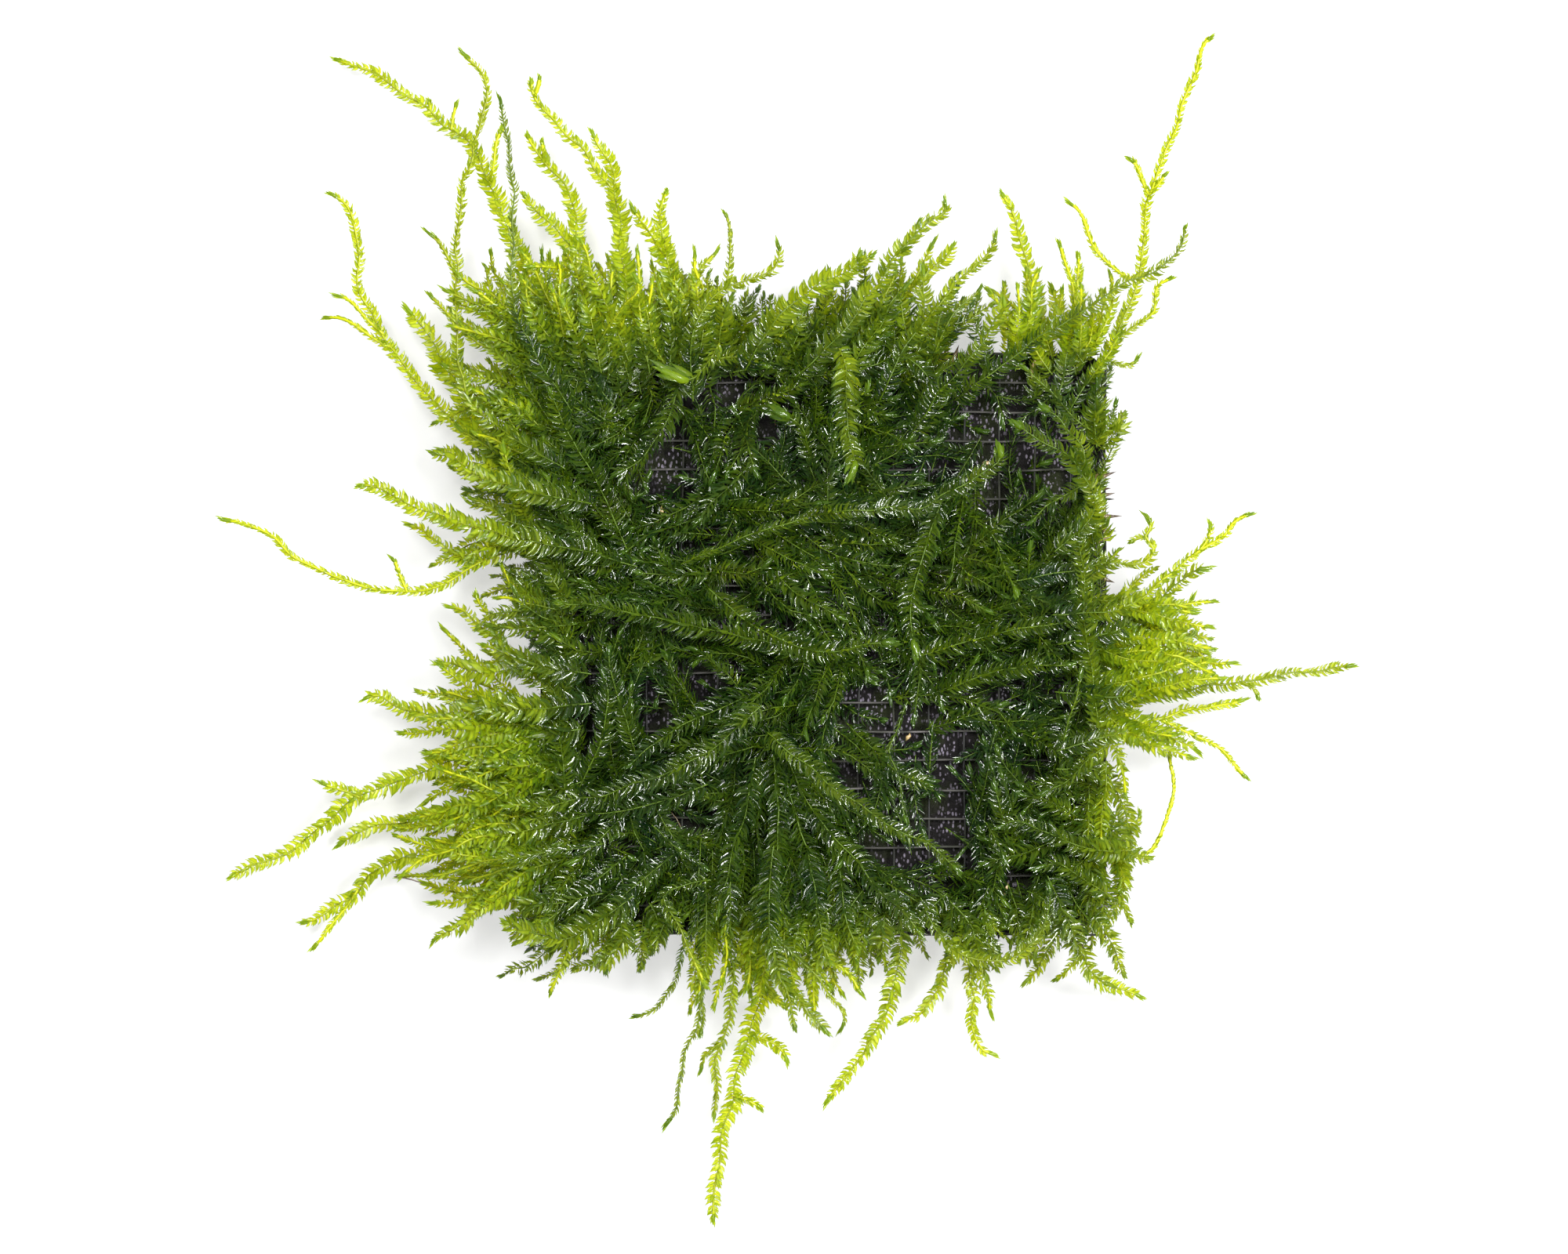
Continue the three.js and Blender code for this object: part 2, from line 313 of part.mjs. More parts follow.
// A smooth closed outline of the mat, a little frayed, as a shape in plan
function matOutline() {
  const shape = new THREE.Shape();
  const halfX = MAT_WIDTH / 2 - MAT_BEVEL - MAT_FRAY;
  const halfY = MAT_DEPTH / 2 - MAT_BEVEL - MAT_FRAY;
  const points = [];
  const corners = [[halfX, halfY, 0], [-halfX, halfY, 1], [-halfX, -halfY, 2], [halfX, -halfY, 3]];
  corners.forEach(([cx, cy, quarter], index) => {
    const inX = cx - Math.sign(cx) * MAT_CORNER;
    const inY = cy - Math.sign(cy) * MAT_CORNER;
    for (let i = 0; i <= 2; i += 1) {
      const angle = (quarter + i / 2) * Math.PI / 2;
      points.push([inX + MAT_CORNER * Math.cos(angle), inY + MAT_CORNER * Math.sin(angle)]);
    }
    const [nextX, nextY] = corners[(index + 1) % 4];
    const [startX, startY] = points[points.length - 1];
    const endX = quarter % 2 === 0 ? nextX - Math.sign(nextX) * MAT_CORNER : nextX;
    const endY = quarter % 2 === 0 ? nextY : nextY - Math.sign(nextY) * MAT_CORNER;
    for (let i = 1; i < FRAYS_PER_SIDE; i += 1) {
      const share = i / FRAYS_PER_SIDE;
      const fray = MAT_FRAY * Math.sin(i * FRAY_TURN + quarter * SIDE_TURN);
      const x = startX + (endX - startX) * share;
      const y = startY + (endY - startY) * share;
      const outX = quarter % 2 === 0 ? 0 : Math.sign(cx);
      const outY = quarter % 2 === 0 ? Math.sign(cy) : 0;
      points.push([x + outX * fray, y + outY * fray]);
    }
  });
  points.forEach(([x, y], index) => (index === 0 ? shape.moveTo(x, y) : shape.lineTo(x, y)));
  shape.closePath();
  return shape;
}

function growingMat() {
  const geometry = new THREE.ExtrudeGeometry(matOutline(), {
    depth: MAT_THICK - 2 * MAT_BEVEL,
    bevelEnabled: true,
    bevelThickness: MAT_BEVEL,
    bevelSize: MAT_BEVEL,
    bevelSegments: 1,
  });
  geometry.translate(0, 0, MAT_BEVEL);
  return geometry;
}

function meshFrom(positions, indices) {
  const geometry = new THREE.BufferGeometry();
  geometry.setAttribute('position', new THREE.Float32BufferAttribute(positions, 3));
  geometry.setIndex(indices);
  return geometry;
}

// The lines in plan that a row of wires is cut by: their two sides, and the ends of the cut stubs
function wireLines(count, length) {
  const middles = Array.from({ length: count }, (_, i) => (i / (count - 1) - 0.5) * (length - WIRE_INSET));
  const end = middles[count - 1] + WIRE / 2 + WIRE_STUB;
  return [-end, ...middles.flatMap((middle) => [middle - WIRE / 2, middle + WIRE / 2]), end];
}

// The mesh as one flat grid: odd cells of the lattice are wire, and its cut ends stand out all round
function wireMesh() {
  const xs = wireLines(WIRES_ACROSS, MAT_WIDTH);
  const ys = wireLines(WIRES_ALONG, MAT_DEPTH);
  const inside = (i, j) => i >= 0 && j >= 0 && i < xs.length - 1 && j < ys.length - 1;
  const isWire = (i, j) => inside(i, j) && (i % 2 === 1 || j % 2 === 1);
  const corner = (i, j, up) => (j * xs.length + i) * 2 + up;
  const positions = ys.flatMap((y) => xs.flatMap((x) => [x, y, MESH_BOTTOM, x, y, MESH_TOP]));
  const indices = [];
  const quad = (a, b, c, d) => indices.push(a, b, c, a, c, d);
  const wall = ([i0, j0], [i1, j1]) => quad(
    corner(i0, j0, 0), corner(i1, j1, 0), corner(i1, j1, 1), corner(i0, j0, 1));
  for (let i = 0; i + 1 < xs.length; i += 1) {
    for (let j = 0; j + 1 < ys.length; j += 1) {
      if (!isWire(i, j)) continue;
      quad(corner(i, j, 1), corner(i + 1, j, 1), corner(i + 1, j + 1, 1), corner(i, j + 1, 1));
      quad(corner(i, j, 0), corner(i, j + 1, 0), corner(i + 1, j + 1, 0), corner(i + 1, j, 0));
      if (!isWire(i, j - 1)) wall([i, j], [i + 1, j]);
      if (!isWire(i + 1, j)) wall([i + 1, j], [i + 1, j + 1]);
      if (!isWire(i, j + 1)) wall([i + 1, j + 1], [i, j + 1]);
      if (!isWire(i - 1, j)) wall([i, j + 1], [i, j]);
    }
  }
  return meshFrom(positions, indices);
}

// A cushion's rings from the foot to the crown: how far out a spike and the notch beside it stand,
// as shares of the half lengths, and how high the ring is, as a share of the rise
const RINGS = [
  { spike: 0.8, notch: 0.74, height: 0, lift: 0 },
  { spike: 1, notch: 0.8, height: 0.14, lift: 0 },
  { spike: 0.74, notch: 0.55, height: 0.52, lift: 0.14 },
  { spike: 0.42, notch: 0.26, height: 0.82, lift: 0.18 },
];
const CUSHION_BEND = 0.05;
const SPIKE_SHORT = 0.16;
const SPIKE_TURN = 5.3;
const RING_TURN = 2.1;
const CROWN = 0.9;

// A cushion of moss: a flat foot, and rings of spikes that overlap like scales up to the crown
function cushion({ at, half, rise }) {
  const count = CUSHION_SPIKES * 2;
  const foot = MESH_TOP + FIT_GAP;
  const positions = [];
  RINGS.forEach(({ spike, notch, height, lift }, level) => {
    for (let i = 0; i < count; i += 1) {
      const angle = i / count * 2 * Math.PI;
      const isSpike = (i + level) % 2 === 1;
      const wave = Math.sin(SPIKE_TURN * i + RING_TURN * level + at[1]);
      const short = level === 0 ? 0 : SPIKE_SHORT * (1 + wave) / 2;
      const bend = 1 + CUSHION_BEND * Math.sin(3 * angle + at[0]);
      const out = (isSpike ? spike : notch) * (1 - short) * bend;
      positions.push(at[0] + half[0] * out * Math.cos(angle), at[1] + half[1] * out * Math.sin(angle),
        foot + rise * (height + (isSpike ? lift : 0)) * (1 - short / 2));
    }
  });
  positions.push(at[0], at[1], foot, at[0], at[1], foot + rise * CROWN);
  const bottom = RINGS.length * count;
  const crown = bottom + 1;
  const indices = [];
  for (let i = 0; i < count; i += 1) {
    const next = (i + 1) % count;
    indices.push(bottom, next, i);
    for (let level = 0; level + 1 < RINGS.length; level += 1) {
      const [a, b] = [level * count + i, level * count + next];
      indices.push(a, b, b + count, a, b + count, a + count);
    }
    indices.push(bottom - count + i, bottom - count + next, crown);
  }
  return meshFrom(positions, indices);
}

// The height of a cushion's spikes at a share of the way from its middle to its rim
function cushionHeight(rise, reach) {
  const heights = RINGS.slice(1).map(({ spike, height, lift }) => [spike, rise * (height + lift)]);
  for (let i = 0; i + 1 < heights.length; i += 1) {
    const [[outer, low], [inner, high]] = [heights[i], heights[i + 1]];
    if (reach >= inner) return low + (high - low) * (outer - reach) / (outer - inner);
  }
  return rise;
}

// The height that a frond's underside has to clear at a point in plan
function groundAt(x, y) {
  let ground = SURFACE_GAP;
  const overMat = Math.abs(x) < MAT_WIDTH / 2 + EDGE_MARGIN && Math.abs(y) < MAT_DEPTH / 2 + EDGE_MARGIN;
  if (overMat) ground = MESH_TOP + FIT_GAP;
  CUSHIONS.forEach(({ at, half, rise }) => {
    const [wide, deep] = half.map((length) => length * (1 + CUSHION_BEND) + SIDE_GAP);
    const reach = Math.hypot((x - at[0]) / wide, (y - at[1]) / deep);
    if (reach < 1) ground = Math.max(ground, MESH_TOP + 2 * FIT_GAP + cushionHeight(rise, reach));
  });
  return ground;
}

// A value along a frond from its three given ones, at the root, the middle and the tip
function between([root, middle, tip], share) {
  if (share < 0.5) return root + (middle - root) * share * 2;
  return middle + (tip - middle) * (share - 0.5) * 2;
}

function thickness(width) {
  return Math.min(THICKEST, Math.max(THINNEST, width * THICK_OF_WIDTH));
}

// Where two strands come close in plan, the later one has to pass above the earlier
function clearOf(strand, point, width) {
  let needed = -Infinity;
  for (let i = 0; i + 1 < strand.length; i += 1) {
    const [a, b] = [strand[i], strand[i + 1]];
    const span = (b.x - a.x) ** 2 + (b.y - a.y) ** 2;
    const along = ((point.x - a.x) * (b.x - a.x) + (point.y - a.y) * (b.y - a.y)) / span;
    const t = Math.min(1, Math.max(0, along));
    const away = Math.hypot(point.x - a.x - t * (b.x - a.x), point.y - a.y - t * (b.y - a.y));
    const otherWidth = Math.max(a.width, b.width);
    if (away < (width + otherWidth) / 2 + LAY_GAP) {
      const above = thickness(otherWidth) * RIDGE_SHARE + thickness(width) * (1 - RIDGE_SHARE);
      needed = Math.max(needed, Math.max(a.z, b.z) + above + LAY_GAP);
    }
  }
  return needed;
}

// Points along a route at even steps, each with its leafy width and the height it comes to rest at.
// A frond climbs from what carries its root, and a twig from its fork, at start.
function lay(route, width, rise, laid, start) {
  const curve = new THREE.CatmullRomCurve3(route.map(([x, y]) => new THREE.Vector3(x, y, 0)),
    false, 'centripetal');
  const steps = Math.max(2, Math.round(curve.getLength() / FROND_STEP));
  const drop = STEEPEST * FROND_STEP;
  const foot = start ?? groundAt(...route[0]);
  const strand = curve.getSpacedPoints(steps).map((point, index) => {
    const share = index / steps;
    const wide = between(width, share);
    const under = thickness(wide) * (1 - RIDGE_SHARE);
    const wanted = Math.min(between(rise, share), foot + under + index * drop);
    let z = Math.max(wanted, groundAt(point.x, point.y) + under);
    laid.forEach((other) => { z = Math.max(z, clearOf(other, point, wide)); });
    return { x: point.x, y: point.y, z, width: wide };
  });
  const raised = strand.map((point, index) => Math.max(point.z,
    index > 0 ? strand[index - 1].z - drop / 2 : 0,
    index < steps ? strand[index + 1].z - drop / 2 : 0));
  for (let i = 1; i <= steps; i += 1) raised[i] = Math.max(raised[i], raised[i - 1] - drop);
  for (let i = steps - 1; i >= 0; i -= 1) raised[i] = Math.max(raised[i], raised[i + 1] - drop);
  strand.forEach((point, index) => { point.z = raised[index]; });
  if (start) strand[0].z = start;
  return strand;
}

// A strand as a closed solid with a three-sided section, leaves as teeth that lean to the tip
function strandSolid(strand) {
  const last = strand.length - 1;
  const positions = [];
  strand.forEach((point, index) => {
    const before = strand[Math.max(0, index - 1)];
    const after = strand[Math.min(last, index + 1)];
    const length = Math.hypot(after.x - before.x, after.y - before.y);
    const [dirX, dirY] = [(after.x - before.x) / length, (after.y - before.y) / length];
    const leafy = point.width > LEAFY_FROM;
    const tooth = leafy && index % 2 === 1 && index < last;
    const half = point.width / 2 * (leafy && !tooth ? NARROW : 1) * (index === last ? TIP_WIDTH : 1);
    const sweep = tooth ? Math.min(LEAF_SWEEP, half * SWEEP_OF_HALF) : 0;
    const thick = thickness(point.width) * (index === last ? TIP_THICK : 1);
    const low = point.z - thick * (1 - RIDGE_SHARE);
    positions.push(point.x - dirY * half + dirX * sweep, point.y + dirX * half + dirY * sweep, low);
    positions.push(point.x + dirY * half + dirX * sweep, point.y - dirX * half + dirY * sweep, low);
    positions.push(point.x, point.y, point.z + thick * RIDGE_SHARE);
  });
  const indices = [0, 1, 2];
  for (let ring = 0; ring < last; ring += 1) {
    for (let corner = 0; corner < 3; corner += 1) {
      const a = ring * 3 + corner;
      const b = ring * 3 + (corner + 1) % 3;
      indices.push(a, b + 3, b, a, a + 3, b + 3);
    }
  }
  indices.push(last * 3, last * 3 + 2, last * 3 + 1);
  return meshFrom(positions, indices);
}

function toManifold(geometry) {
  const plain = mergeVertices(geometry, MERGE_WITHIN);
  return new wasm.Manifold(new wasm.Mesh({
    numProp: 3,
    vertProperties: new Float32Array(plain.attributes.position.array),
    triVerts: new Uint32Array(plain.index.array),
  }));
}

function fromManifold(solid) {
  const mesh = solid.getMesh();
  return meshFrom(Array.from(mesh.vertProperties), Array.from(mesh.triVerts));
}

// A frond and its twigs, laid over everything in laid and then added to it
function frond({ route, width, rise, twigs }, laid) {
  const main = lay(route, width, rise, laid);
  const strands = [main];
  twigs.forEach((twig) => {
    const [x, y] = twig.route[0];
    const fork = main.reduce((best, point) => (
      Math.hypot(point.x - x, point.y - y) < Math.hypot(best.x - x, best.y - y) ? point : best));
    const onFrond = [[fork.x, fork.y], ...twig.route.slice(1)];
    const heights = [fork.z, (fork.z + twig.to) / 2, twig.to];
    strands.push(lay(onFrond, twig.width, heights, laid, fork.z));
  });
  laid.push(...strands);
  const solids = strands.map(strandSolid);
  if (solids.length === 1) return solids[0];
  return fromManifold(solids.map(toManifold).reduce((whole, part) => whole.add(part)));
}

const part = new THREE.Group();

function place(name, geometry, color, roughness, metalness) {
  const material = new THREE.MeshStandardMaterial({ color, roughness, metalness });
  const mesh = new THREE.Mesh(geometry, material);
  mesh.name = name;
  part.add(mesh);
}

place('growing_mat', growingMat(), 0x1c1a20, 0.5, 0);
place('wire_mesh', wireMesh(), 0x8c8c86, 0.35, 1);
CUSHIONS.forEach((entry) => place(entry.name, cushion(entry), MOSS_DARK, 0.45, 0));

const laid = [];
FRONDS.forEach((entry) => {
  const [middleX, middleY] = entry.route[Math.floor(entry.route.length / 2)];
  const lit = THREE.MathUtils.clamp((Math.hypot(middleX, middleY) - LIGHT_FROM) / LIGHT_OVER, 0, 1);
  const color = MOSS_DARK.clone().lerp(MOSS_LIGHT, lit);
  place(entry.name, frond(entry, laid), color, 0.4, 0);
});

export default part;
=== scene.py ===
"""Spiky moss on a square growing pad, seen from straight above.

A black fibre mat lies under a fine wire mesh. Moss grows through the mesh: low thickets of short
fronds cover it, and long leafy fronds spread past all four edges. Every frond is a stem with leaves
all round it. Lengths are in millimetres up to the point where a mesh is made, which is in metres.
"""

import math

import bpy
import numpy as np
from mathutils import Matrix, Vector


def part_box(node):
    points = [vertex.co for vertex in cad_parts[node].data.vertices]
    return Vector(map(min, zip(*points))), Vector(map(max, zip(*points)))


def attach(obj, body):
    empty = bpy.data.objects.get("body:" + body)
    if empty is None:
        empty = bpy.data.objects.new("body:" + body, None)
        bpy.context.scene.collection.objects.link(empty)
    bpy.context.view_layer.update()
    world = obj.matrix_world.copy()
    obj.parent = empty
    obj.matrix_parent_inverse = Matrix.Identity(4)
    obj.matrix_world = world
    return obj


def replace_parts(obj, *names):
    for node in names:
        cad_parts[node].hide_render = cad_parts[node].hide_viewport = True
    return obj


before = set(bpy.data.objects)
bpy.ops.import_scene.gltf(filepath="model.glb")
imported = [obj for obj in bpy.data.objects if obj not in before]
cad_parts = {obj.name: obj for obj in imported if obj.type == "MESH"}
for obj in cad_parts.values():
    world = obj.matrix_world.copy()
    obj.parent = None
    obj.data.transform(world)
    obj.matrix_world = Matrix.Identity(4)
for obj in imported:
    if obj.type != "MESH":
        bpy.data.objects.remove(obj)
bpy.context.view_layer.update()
MM = 0.001

# Camera: the photograph's frame on the plane of the mesh, looked at from straight above
FRAME_WIDTH = 138.9
FRAME_MIDDLE = (-3.47, 1.53)
CAMERA_ABOVE = 1000
CAMERA_SEES = 3000
SENSOR = 36


def place_in_scene(name, data):
    made = bpy.data.objects.new(name, data)
    bpy.context.scene.collection.objects.link(made)
    return made


def node_box(name):
    """A CAD node's lowest and highest corner, in millimetres."""
    low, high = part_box(name)
    return np.array(low) / MM, np.array(high) / MM


MAT_HIGH = node_box("growing_mat")[1]
MESH_LOW, MESH_HIGH = node_box("wire_mesh")

camera_data = bpy.data.cameras.new("camera")
camera_data.sensor_fit = "HORIZONTAL"
camera_data.sensor_width = SENSOR
camera_data.lens = SENSOR * (CAMERA_ABOVE - MESH_HIGH[2]) / FRAME_WIDTH
camera_data.clip_end = CAMERA_SEES * MM
camera = place_in_scene("camera", camera_data)
camera.location = (FRAME_MIDDLE[0] * MM, FRAME_MIDDLE[1] * MM, CAMERA_ABOVE * MM)
bpy.context.scene.camera = camera


# Lines: rows of points a step apart. A wave is a few sines, their lengths spread about the one given.
UP = np.array([0.0, 0.0, 1.0])
LINE_STEP = 0.7
CURVE_POINTS = 12
WAVE_SINES = 3
WAVE_SPREAD = 0.7, 1.6
# The small bends of a grown stem: their length in plan and in height, and how high they are for their
# width
BEND_LENGTH = 4.5
RISE_LENGTH = 6
RISE_SHARE = 0.7


def random_for(name):
    """Random numbers of a piece's own, the same at each run."""
    return np.random.default_rng(list(name.encode()))


def ramp(pair, share):
    """The first number of a pair, and that share of the second on top."""
    return pair[0] + pair[1] * share


def unit(vectors):
    return vectors / np.maximum(np.linalg.norm(vectors, axis=-1, keepdims=True), 1e-9)


def between(first, second, start, end, t):
    """The point at t on the way from the first one, at start, to the second one, at end."""
    return ((end - t) * first + (t - start) * second) / (end - start)


def smooth_line(points):
    """Points about a step apart on a centripetal Catmull-Rom curve through the given ones."""
    points = np.asarray(points, float)
    knots = np.vstack([2 * points[0] - points[1], points, 2 * points[-1] - points[-2]])
    times = np.concatenate([[0], np.cumsum(np.linalg.norm(np.diff(knots, axis=0), axis=1) ** 0.5)])
    parts = []
    for i in range(1, len(knots) - 2):
        last = i == len(knots) - 3
        a, b, c, d = times[i - 1:i + 3]
        t = np.linspace(b, c, CURVE_POINTS + last, endpoint=last)[:, None]
        before = between(knots[i - 1], knots[i], a, b, t)
        within = between(knots[i], knots[i + 1], b, c, t)
        after = between(knots[i + 1], knots[i + 2], c, d, t)
        parts.append(between(between(before, within, a, c, t), between(within, after, b, d, t), b, c, t))
    return evenly(np.vstack(parts))


def lengths_along(line):
    return np.concatenate([[0], np.cumsum(np.linalg.norm(np.diff(line, axis=0), axis=1))])


def values_at(where, along, values):
    """Rows of values that are known at some lengths along a line, at other lengths."""
    return np.stack([np.interp(where, along, column) for column in values.T], axis=1)


def at_lengths(line, where):
    return values_at(where, lengths_along(line), line)


def evenly(line):
    total = lengths_along(line)[-1]
    return at_lengths(line, np.linspace(0, total, max(3, round(total / LINE_STEP) + 1)))


def waves(values, length, rng):
    """A smooth random height at each value, between about -1 and 1, that changes over that length."""
    turns = 2 * math.pi / (length * rng.uniform(*WAVE_SPREAD, WAVE_SINES))
    starts = rng.uniform(0, 2 * math.pi, WAVE_SINES)
    return np.sin(np.outer(values, turns) + starts).sum(1) / WAVE_SINES ** 0.5


def alive(line, rng, sway=0.16):
    """The same line with the small bends of a grown stem, more of them towards its tip."""
    along = lengths_along(line)
    share = (along / along[-1])[:, None] ** 0.5
    lengths = BEND_LENGTH, BEND_LENGTH, RISE_LENGTH
    bends = np.stack([waves(along, length, rng) for length in lengths], axis=1)
    return line + bends * share * np.array([sway, sway, sway * RISE_SHARE])


def frames(line, roll=0.0):
    """Unit vectors along, to the side of and out of the back of a line, turned by roll about it."""
    along = unit(np.gradient(line, axis=0))
    side = unit(np.cross(UP, along))
    back = np.cross(along, side)
    roll = np.broadcast_to(roll, len(line))[:, None]
    return along, side * np.cos(roll) + back * np.sin(roll), back * np.cos(roll) - side * np.sin(roll)


# Meshes: each vertex carries its marks, which the materials read. A tube's two points stand past its
# line by these shares of the line's first and last step.
MARKS = ("tone", "along", "edge", "young", "bud")
TUBE_START = 0.2
TUBE_END = 0.5


class Sheaf:
    """Vertices, triangles and surface values gathered for one mesh."""

    def __init__(self):
        self.points, self.faces, self.marks, self.slots = [], [], [], []
        self.count = 0

    def add(self, points, faces, marks=0.0, slot=0):
        self.points.append(points)
        self.faces.append(faces + self.count)
        self.marks.append(np.broadcast_to(marks, (len(points), len(MARKS))))
        self.slots.append(np.full(len(faces), slot))
        self.count += len(points)

    def piece(self, name, materials):
        """The mesh as an object that rides on the pad."""
        points = np.concatenate(self.points) * MM
        faces = np.concatenate(self.faces)
        mesh = bpy.data.meshes.new(name)
        mesh.vertices.add(len(points))
        mesh.vertices.foreach_set("co", points.astype(np.float32).ravel())
        mesh.loops.add(faces.size)
        mesh.loops.foreach_set("vertex_index", faces.astype(np.int32).ravel())
        mesh.polygons.add(len(faces))
        mesh.polygons.foreach_set("loop_start", np.arange(0, faces.size, 3, dtype=np.int32))
        mesh.polygons.foreach_set("material_index", np.concatenate(self.slots).astype(np.int32))
        mesh.polygons.foreach_set("use_smooth", np.ones(len(faces), bool))
        marks = np.concatenate(self.marks).astype(np.float32)
        for column, mark in enumerate(MARKS):
            mesh.attributes.new(mark, "FLOAT", "POINT").data.foreach_set("value", marks[:, column])
        for material in materials:
            mesh.materials.append(material)
        mesh.update(calc_edges=True)
        made = place_in_scene(name, mesh)
        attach(made, "root")
        return made


def tube(sheaf, line, radius, sides, marks=0.0, slot=0):
    """A closed tube along a line, drawn to a point at both ends."""
    _, side, back = frames(line)
    radius = np.broadcast_to(radius, len(line))
    turn = np.arange(sides) * 2 * math.pi / sides
    ring = np.cos(turn)[:, None] * side[:, None] + np.sin(turn)[:, None] * back[:, None]
    points = line[:, None] + ring * radius[:, None, None]
    rings = len(line)
    first = (np.arange(rings - 1)[:, None] * sides + np.arange(sides)).ravel()
    after = (np.arange(rings - 1)[:, None] * sides + (np.arange(sides) + 1) % sides).ravel()
    walls = np.concatenate([np.stack([first, after, after + sides], 1),
                            np.stack([first, after + sides, first + sides], 1)])
    start, end = rings * sides, rings * sides + 1
    low, high = np.arange(sides), (rings - 1) * sides + np.arange(sides)
    caps = np.concatenate([np.stack([np.full(sides, start), np.roll(low, -1), low], 1),
                           np.stack([np.full(sides, end), high, np.roll(high, -1)], 1)])
    ends = [line[0] + (line[0] - line[1]) * TUBE_START, line[-1] + (line[-1] - line[-2]) * TUBE_END]
    if np.ndim(marks) == 2:
        marks = np.concatenate([np.repeat(marks, sides, axis=0), marks[[0, -1]]])
    sheaf.add(np.concatenate([points.reshape(-1, 3), ends]), np.concatenate([walls, caps]), marks, slot)


# Leaves: a form has the rows of three points of a leaf, how far along it each row lies and its share of
# the leaf's width
FULL_LEAF = np.array([0.16, 0.56]), np.array([0.92, 0.78])
PLAIN_LEAF = np.array([0.32]), np.array([1.0])
LEAF_SLOT = 0
STEM_SLOT = 1
# How far round the stem the next leaf stands, and where the first one may
TURN_PER_LEAF = math.radians(137.5)
ANY_TURN = 0, 6
# How deep a shoot's leaves stand above and below its stem, for how far they stand to its sides
FLATTENED = 0.3
ROUNDED = 0.55
# A leaf's bend, how far from its stem it is spread to have all of it, and the least share it has; how
# deep its keel is for half its width; the mean and spread of its random lift; and how much it lies flat
# in its shoot instead of round the stem, at least and most
LEAF_BEND = math.radians(26)
BENT_FULLY = math.radians(50)
LEAST_BENT = 0.2
LEAF_KEEL = 0.5
LEAF_LIFT = 0.04, 0.14
LEAF_FLAT = 0.5, 1


def leaf_faces(rows):
    """The triangles of one leaf: its foot, rows of three points, and its tip."""
    faces = [(0, 2, 1), (0, 3, 2)]
    for row in range(rows - 1):
        for side in (0, 1):
            a = 1 + row * 3 + side
            faces += [(a, a + 1, a + 4), (a, a + 4, a + 3)]
    last, tip = 3 * rows - 2, 3 * rows + 1
    faces += [(last, last + 1, tip), (last + 1, last + 2, tip)]
    return np.array(faces)


def leaves(sheaf, form, foot, along, side, back, turn, length, spread, width, tone, young, bud, rng,
           flat=FLATTENED):
    """Leaves that grow at each foot, turned about the stem, spread from it and bent towards its tip."""
    steps, profile = form
    out = unit(np.cos(turn)[:, None] * side + flat * np.sin(turn)[:, None] * back)
    count, rows = len(foot), len(steps)
    ends = np.concatenate([[0], steps, [1]])
    middle = np.empty((count, rows + 2, 3))
    middle[:, 0] = foot
    lift = rng.normal(*LEAF_LIFT, count)[:, None] * back
    bend = LEAF_BEND * np.clip(spread / BENT_FULLY, LEAST_BENT, 1)
    for row in range(rows + 1):
        share = (ends[row] + ends[row + 1]) / 2
        angle = (spread + bend * (1 - 2 * share))[:, None]
        way = unit(np.cos(angle) * along + np.sin(angle) * out + lift * share * 2)
        middle[:, row + 1] = middle[:, row] + way * (ends[row + 1] - ends[row]) * length[:, None]
    across = np.cross(back, way)
    around = np.cross(along, out)
    sign = np.where((across * around).sum(1) < 0, -1.0, 1.0)[:, None]
    level = rng.uniform(*LEAF_FLAT, count)[:, None]
    across = unit(level * unit(across) * sign + (1 - level) * around)
    normal = unit(np.cross(way, across))
    normal *= np.where((normal * back).sum(1) < 0, -1.0, 1.0)[:, None]
    half = (width / 2)[:, None, None] * profile[None, :, None]
    rim = across[:, None] * half
    keel = normal[:, None] * half * LEAF_KEEL
    inner = middle[:, 1:-1]
    rows_of_three = np.stack([inner + rim, inner - keel, inner - rim], axis=2).reshape(count, rows * 3, 3)
    points = np.concatenate([middle[:, :1], rows_of_three, middle[:, -1:]], axis=1)
    per_leaf = rows * 3 + 2
    marks = np.stack([
        np.repeat(tone, per_leaf),
        np.tile(np.concatenate([[0], np.repeat(steps, 3), [1]]), count),
        np.tile([0.0] + [1.0, 0.0, 1.0] * rows + [1.0], count),
        np.repeat(young, per_leaf),
        np.full(count * per_leaf, bud),
    ], axis=1)
    faces = (np.arange(count)[:, None, None] * per_leaf + leaf_faces(rows)).reshape(-1, 3)
    sheaf.add(points.reshape(-1, 3), faces, marks, LEAF_SLOT)


# Closed tips: a spindle with leaves pressed to it. A kind of tip has the spindle's share of the tip's
# radius, its sides, how many leaves it has, their least length for the tip's, their width for its
# radius and how much they look like a bud. Below are the spindle's shape along its length, that length
# and its edge mark, where the leaves' feet stand and the longest one's share, how far they spread for
# the tip's radius, and the tones of the leaves and of a stem.
PLAIN_TIP = 1, 5, 3, 0.7, 1.6, 1.0
BLADE_TIP = 0.75, 7, 8, 0.5, 1.2, 0.5
BLADE_RADIUS = 0.34
TIP_SHAPE = np.array([0, 0.15, 0.35, 0.6, 0.85]), np.array([0.6, 0.95, 1.0, 0.75, 0.3])
TIP_SPINDLE = 0.93
TIP_EDGE = 0.3
TIP_FEET = -0.15, 0.3
TIP_LONGEST = 0.85
TIP_SPREAD = 1.1
TIP_TONES = 0.1, 0.9
STEM_TONES = 0.2, 0.8


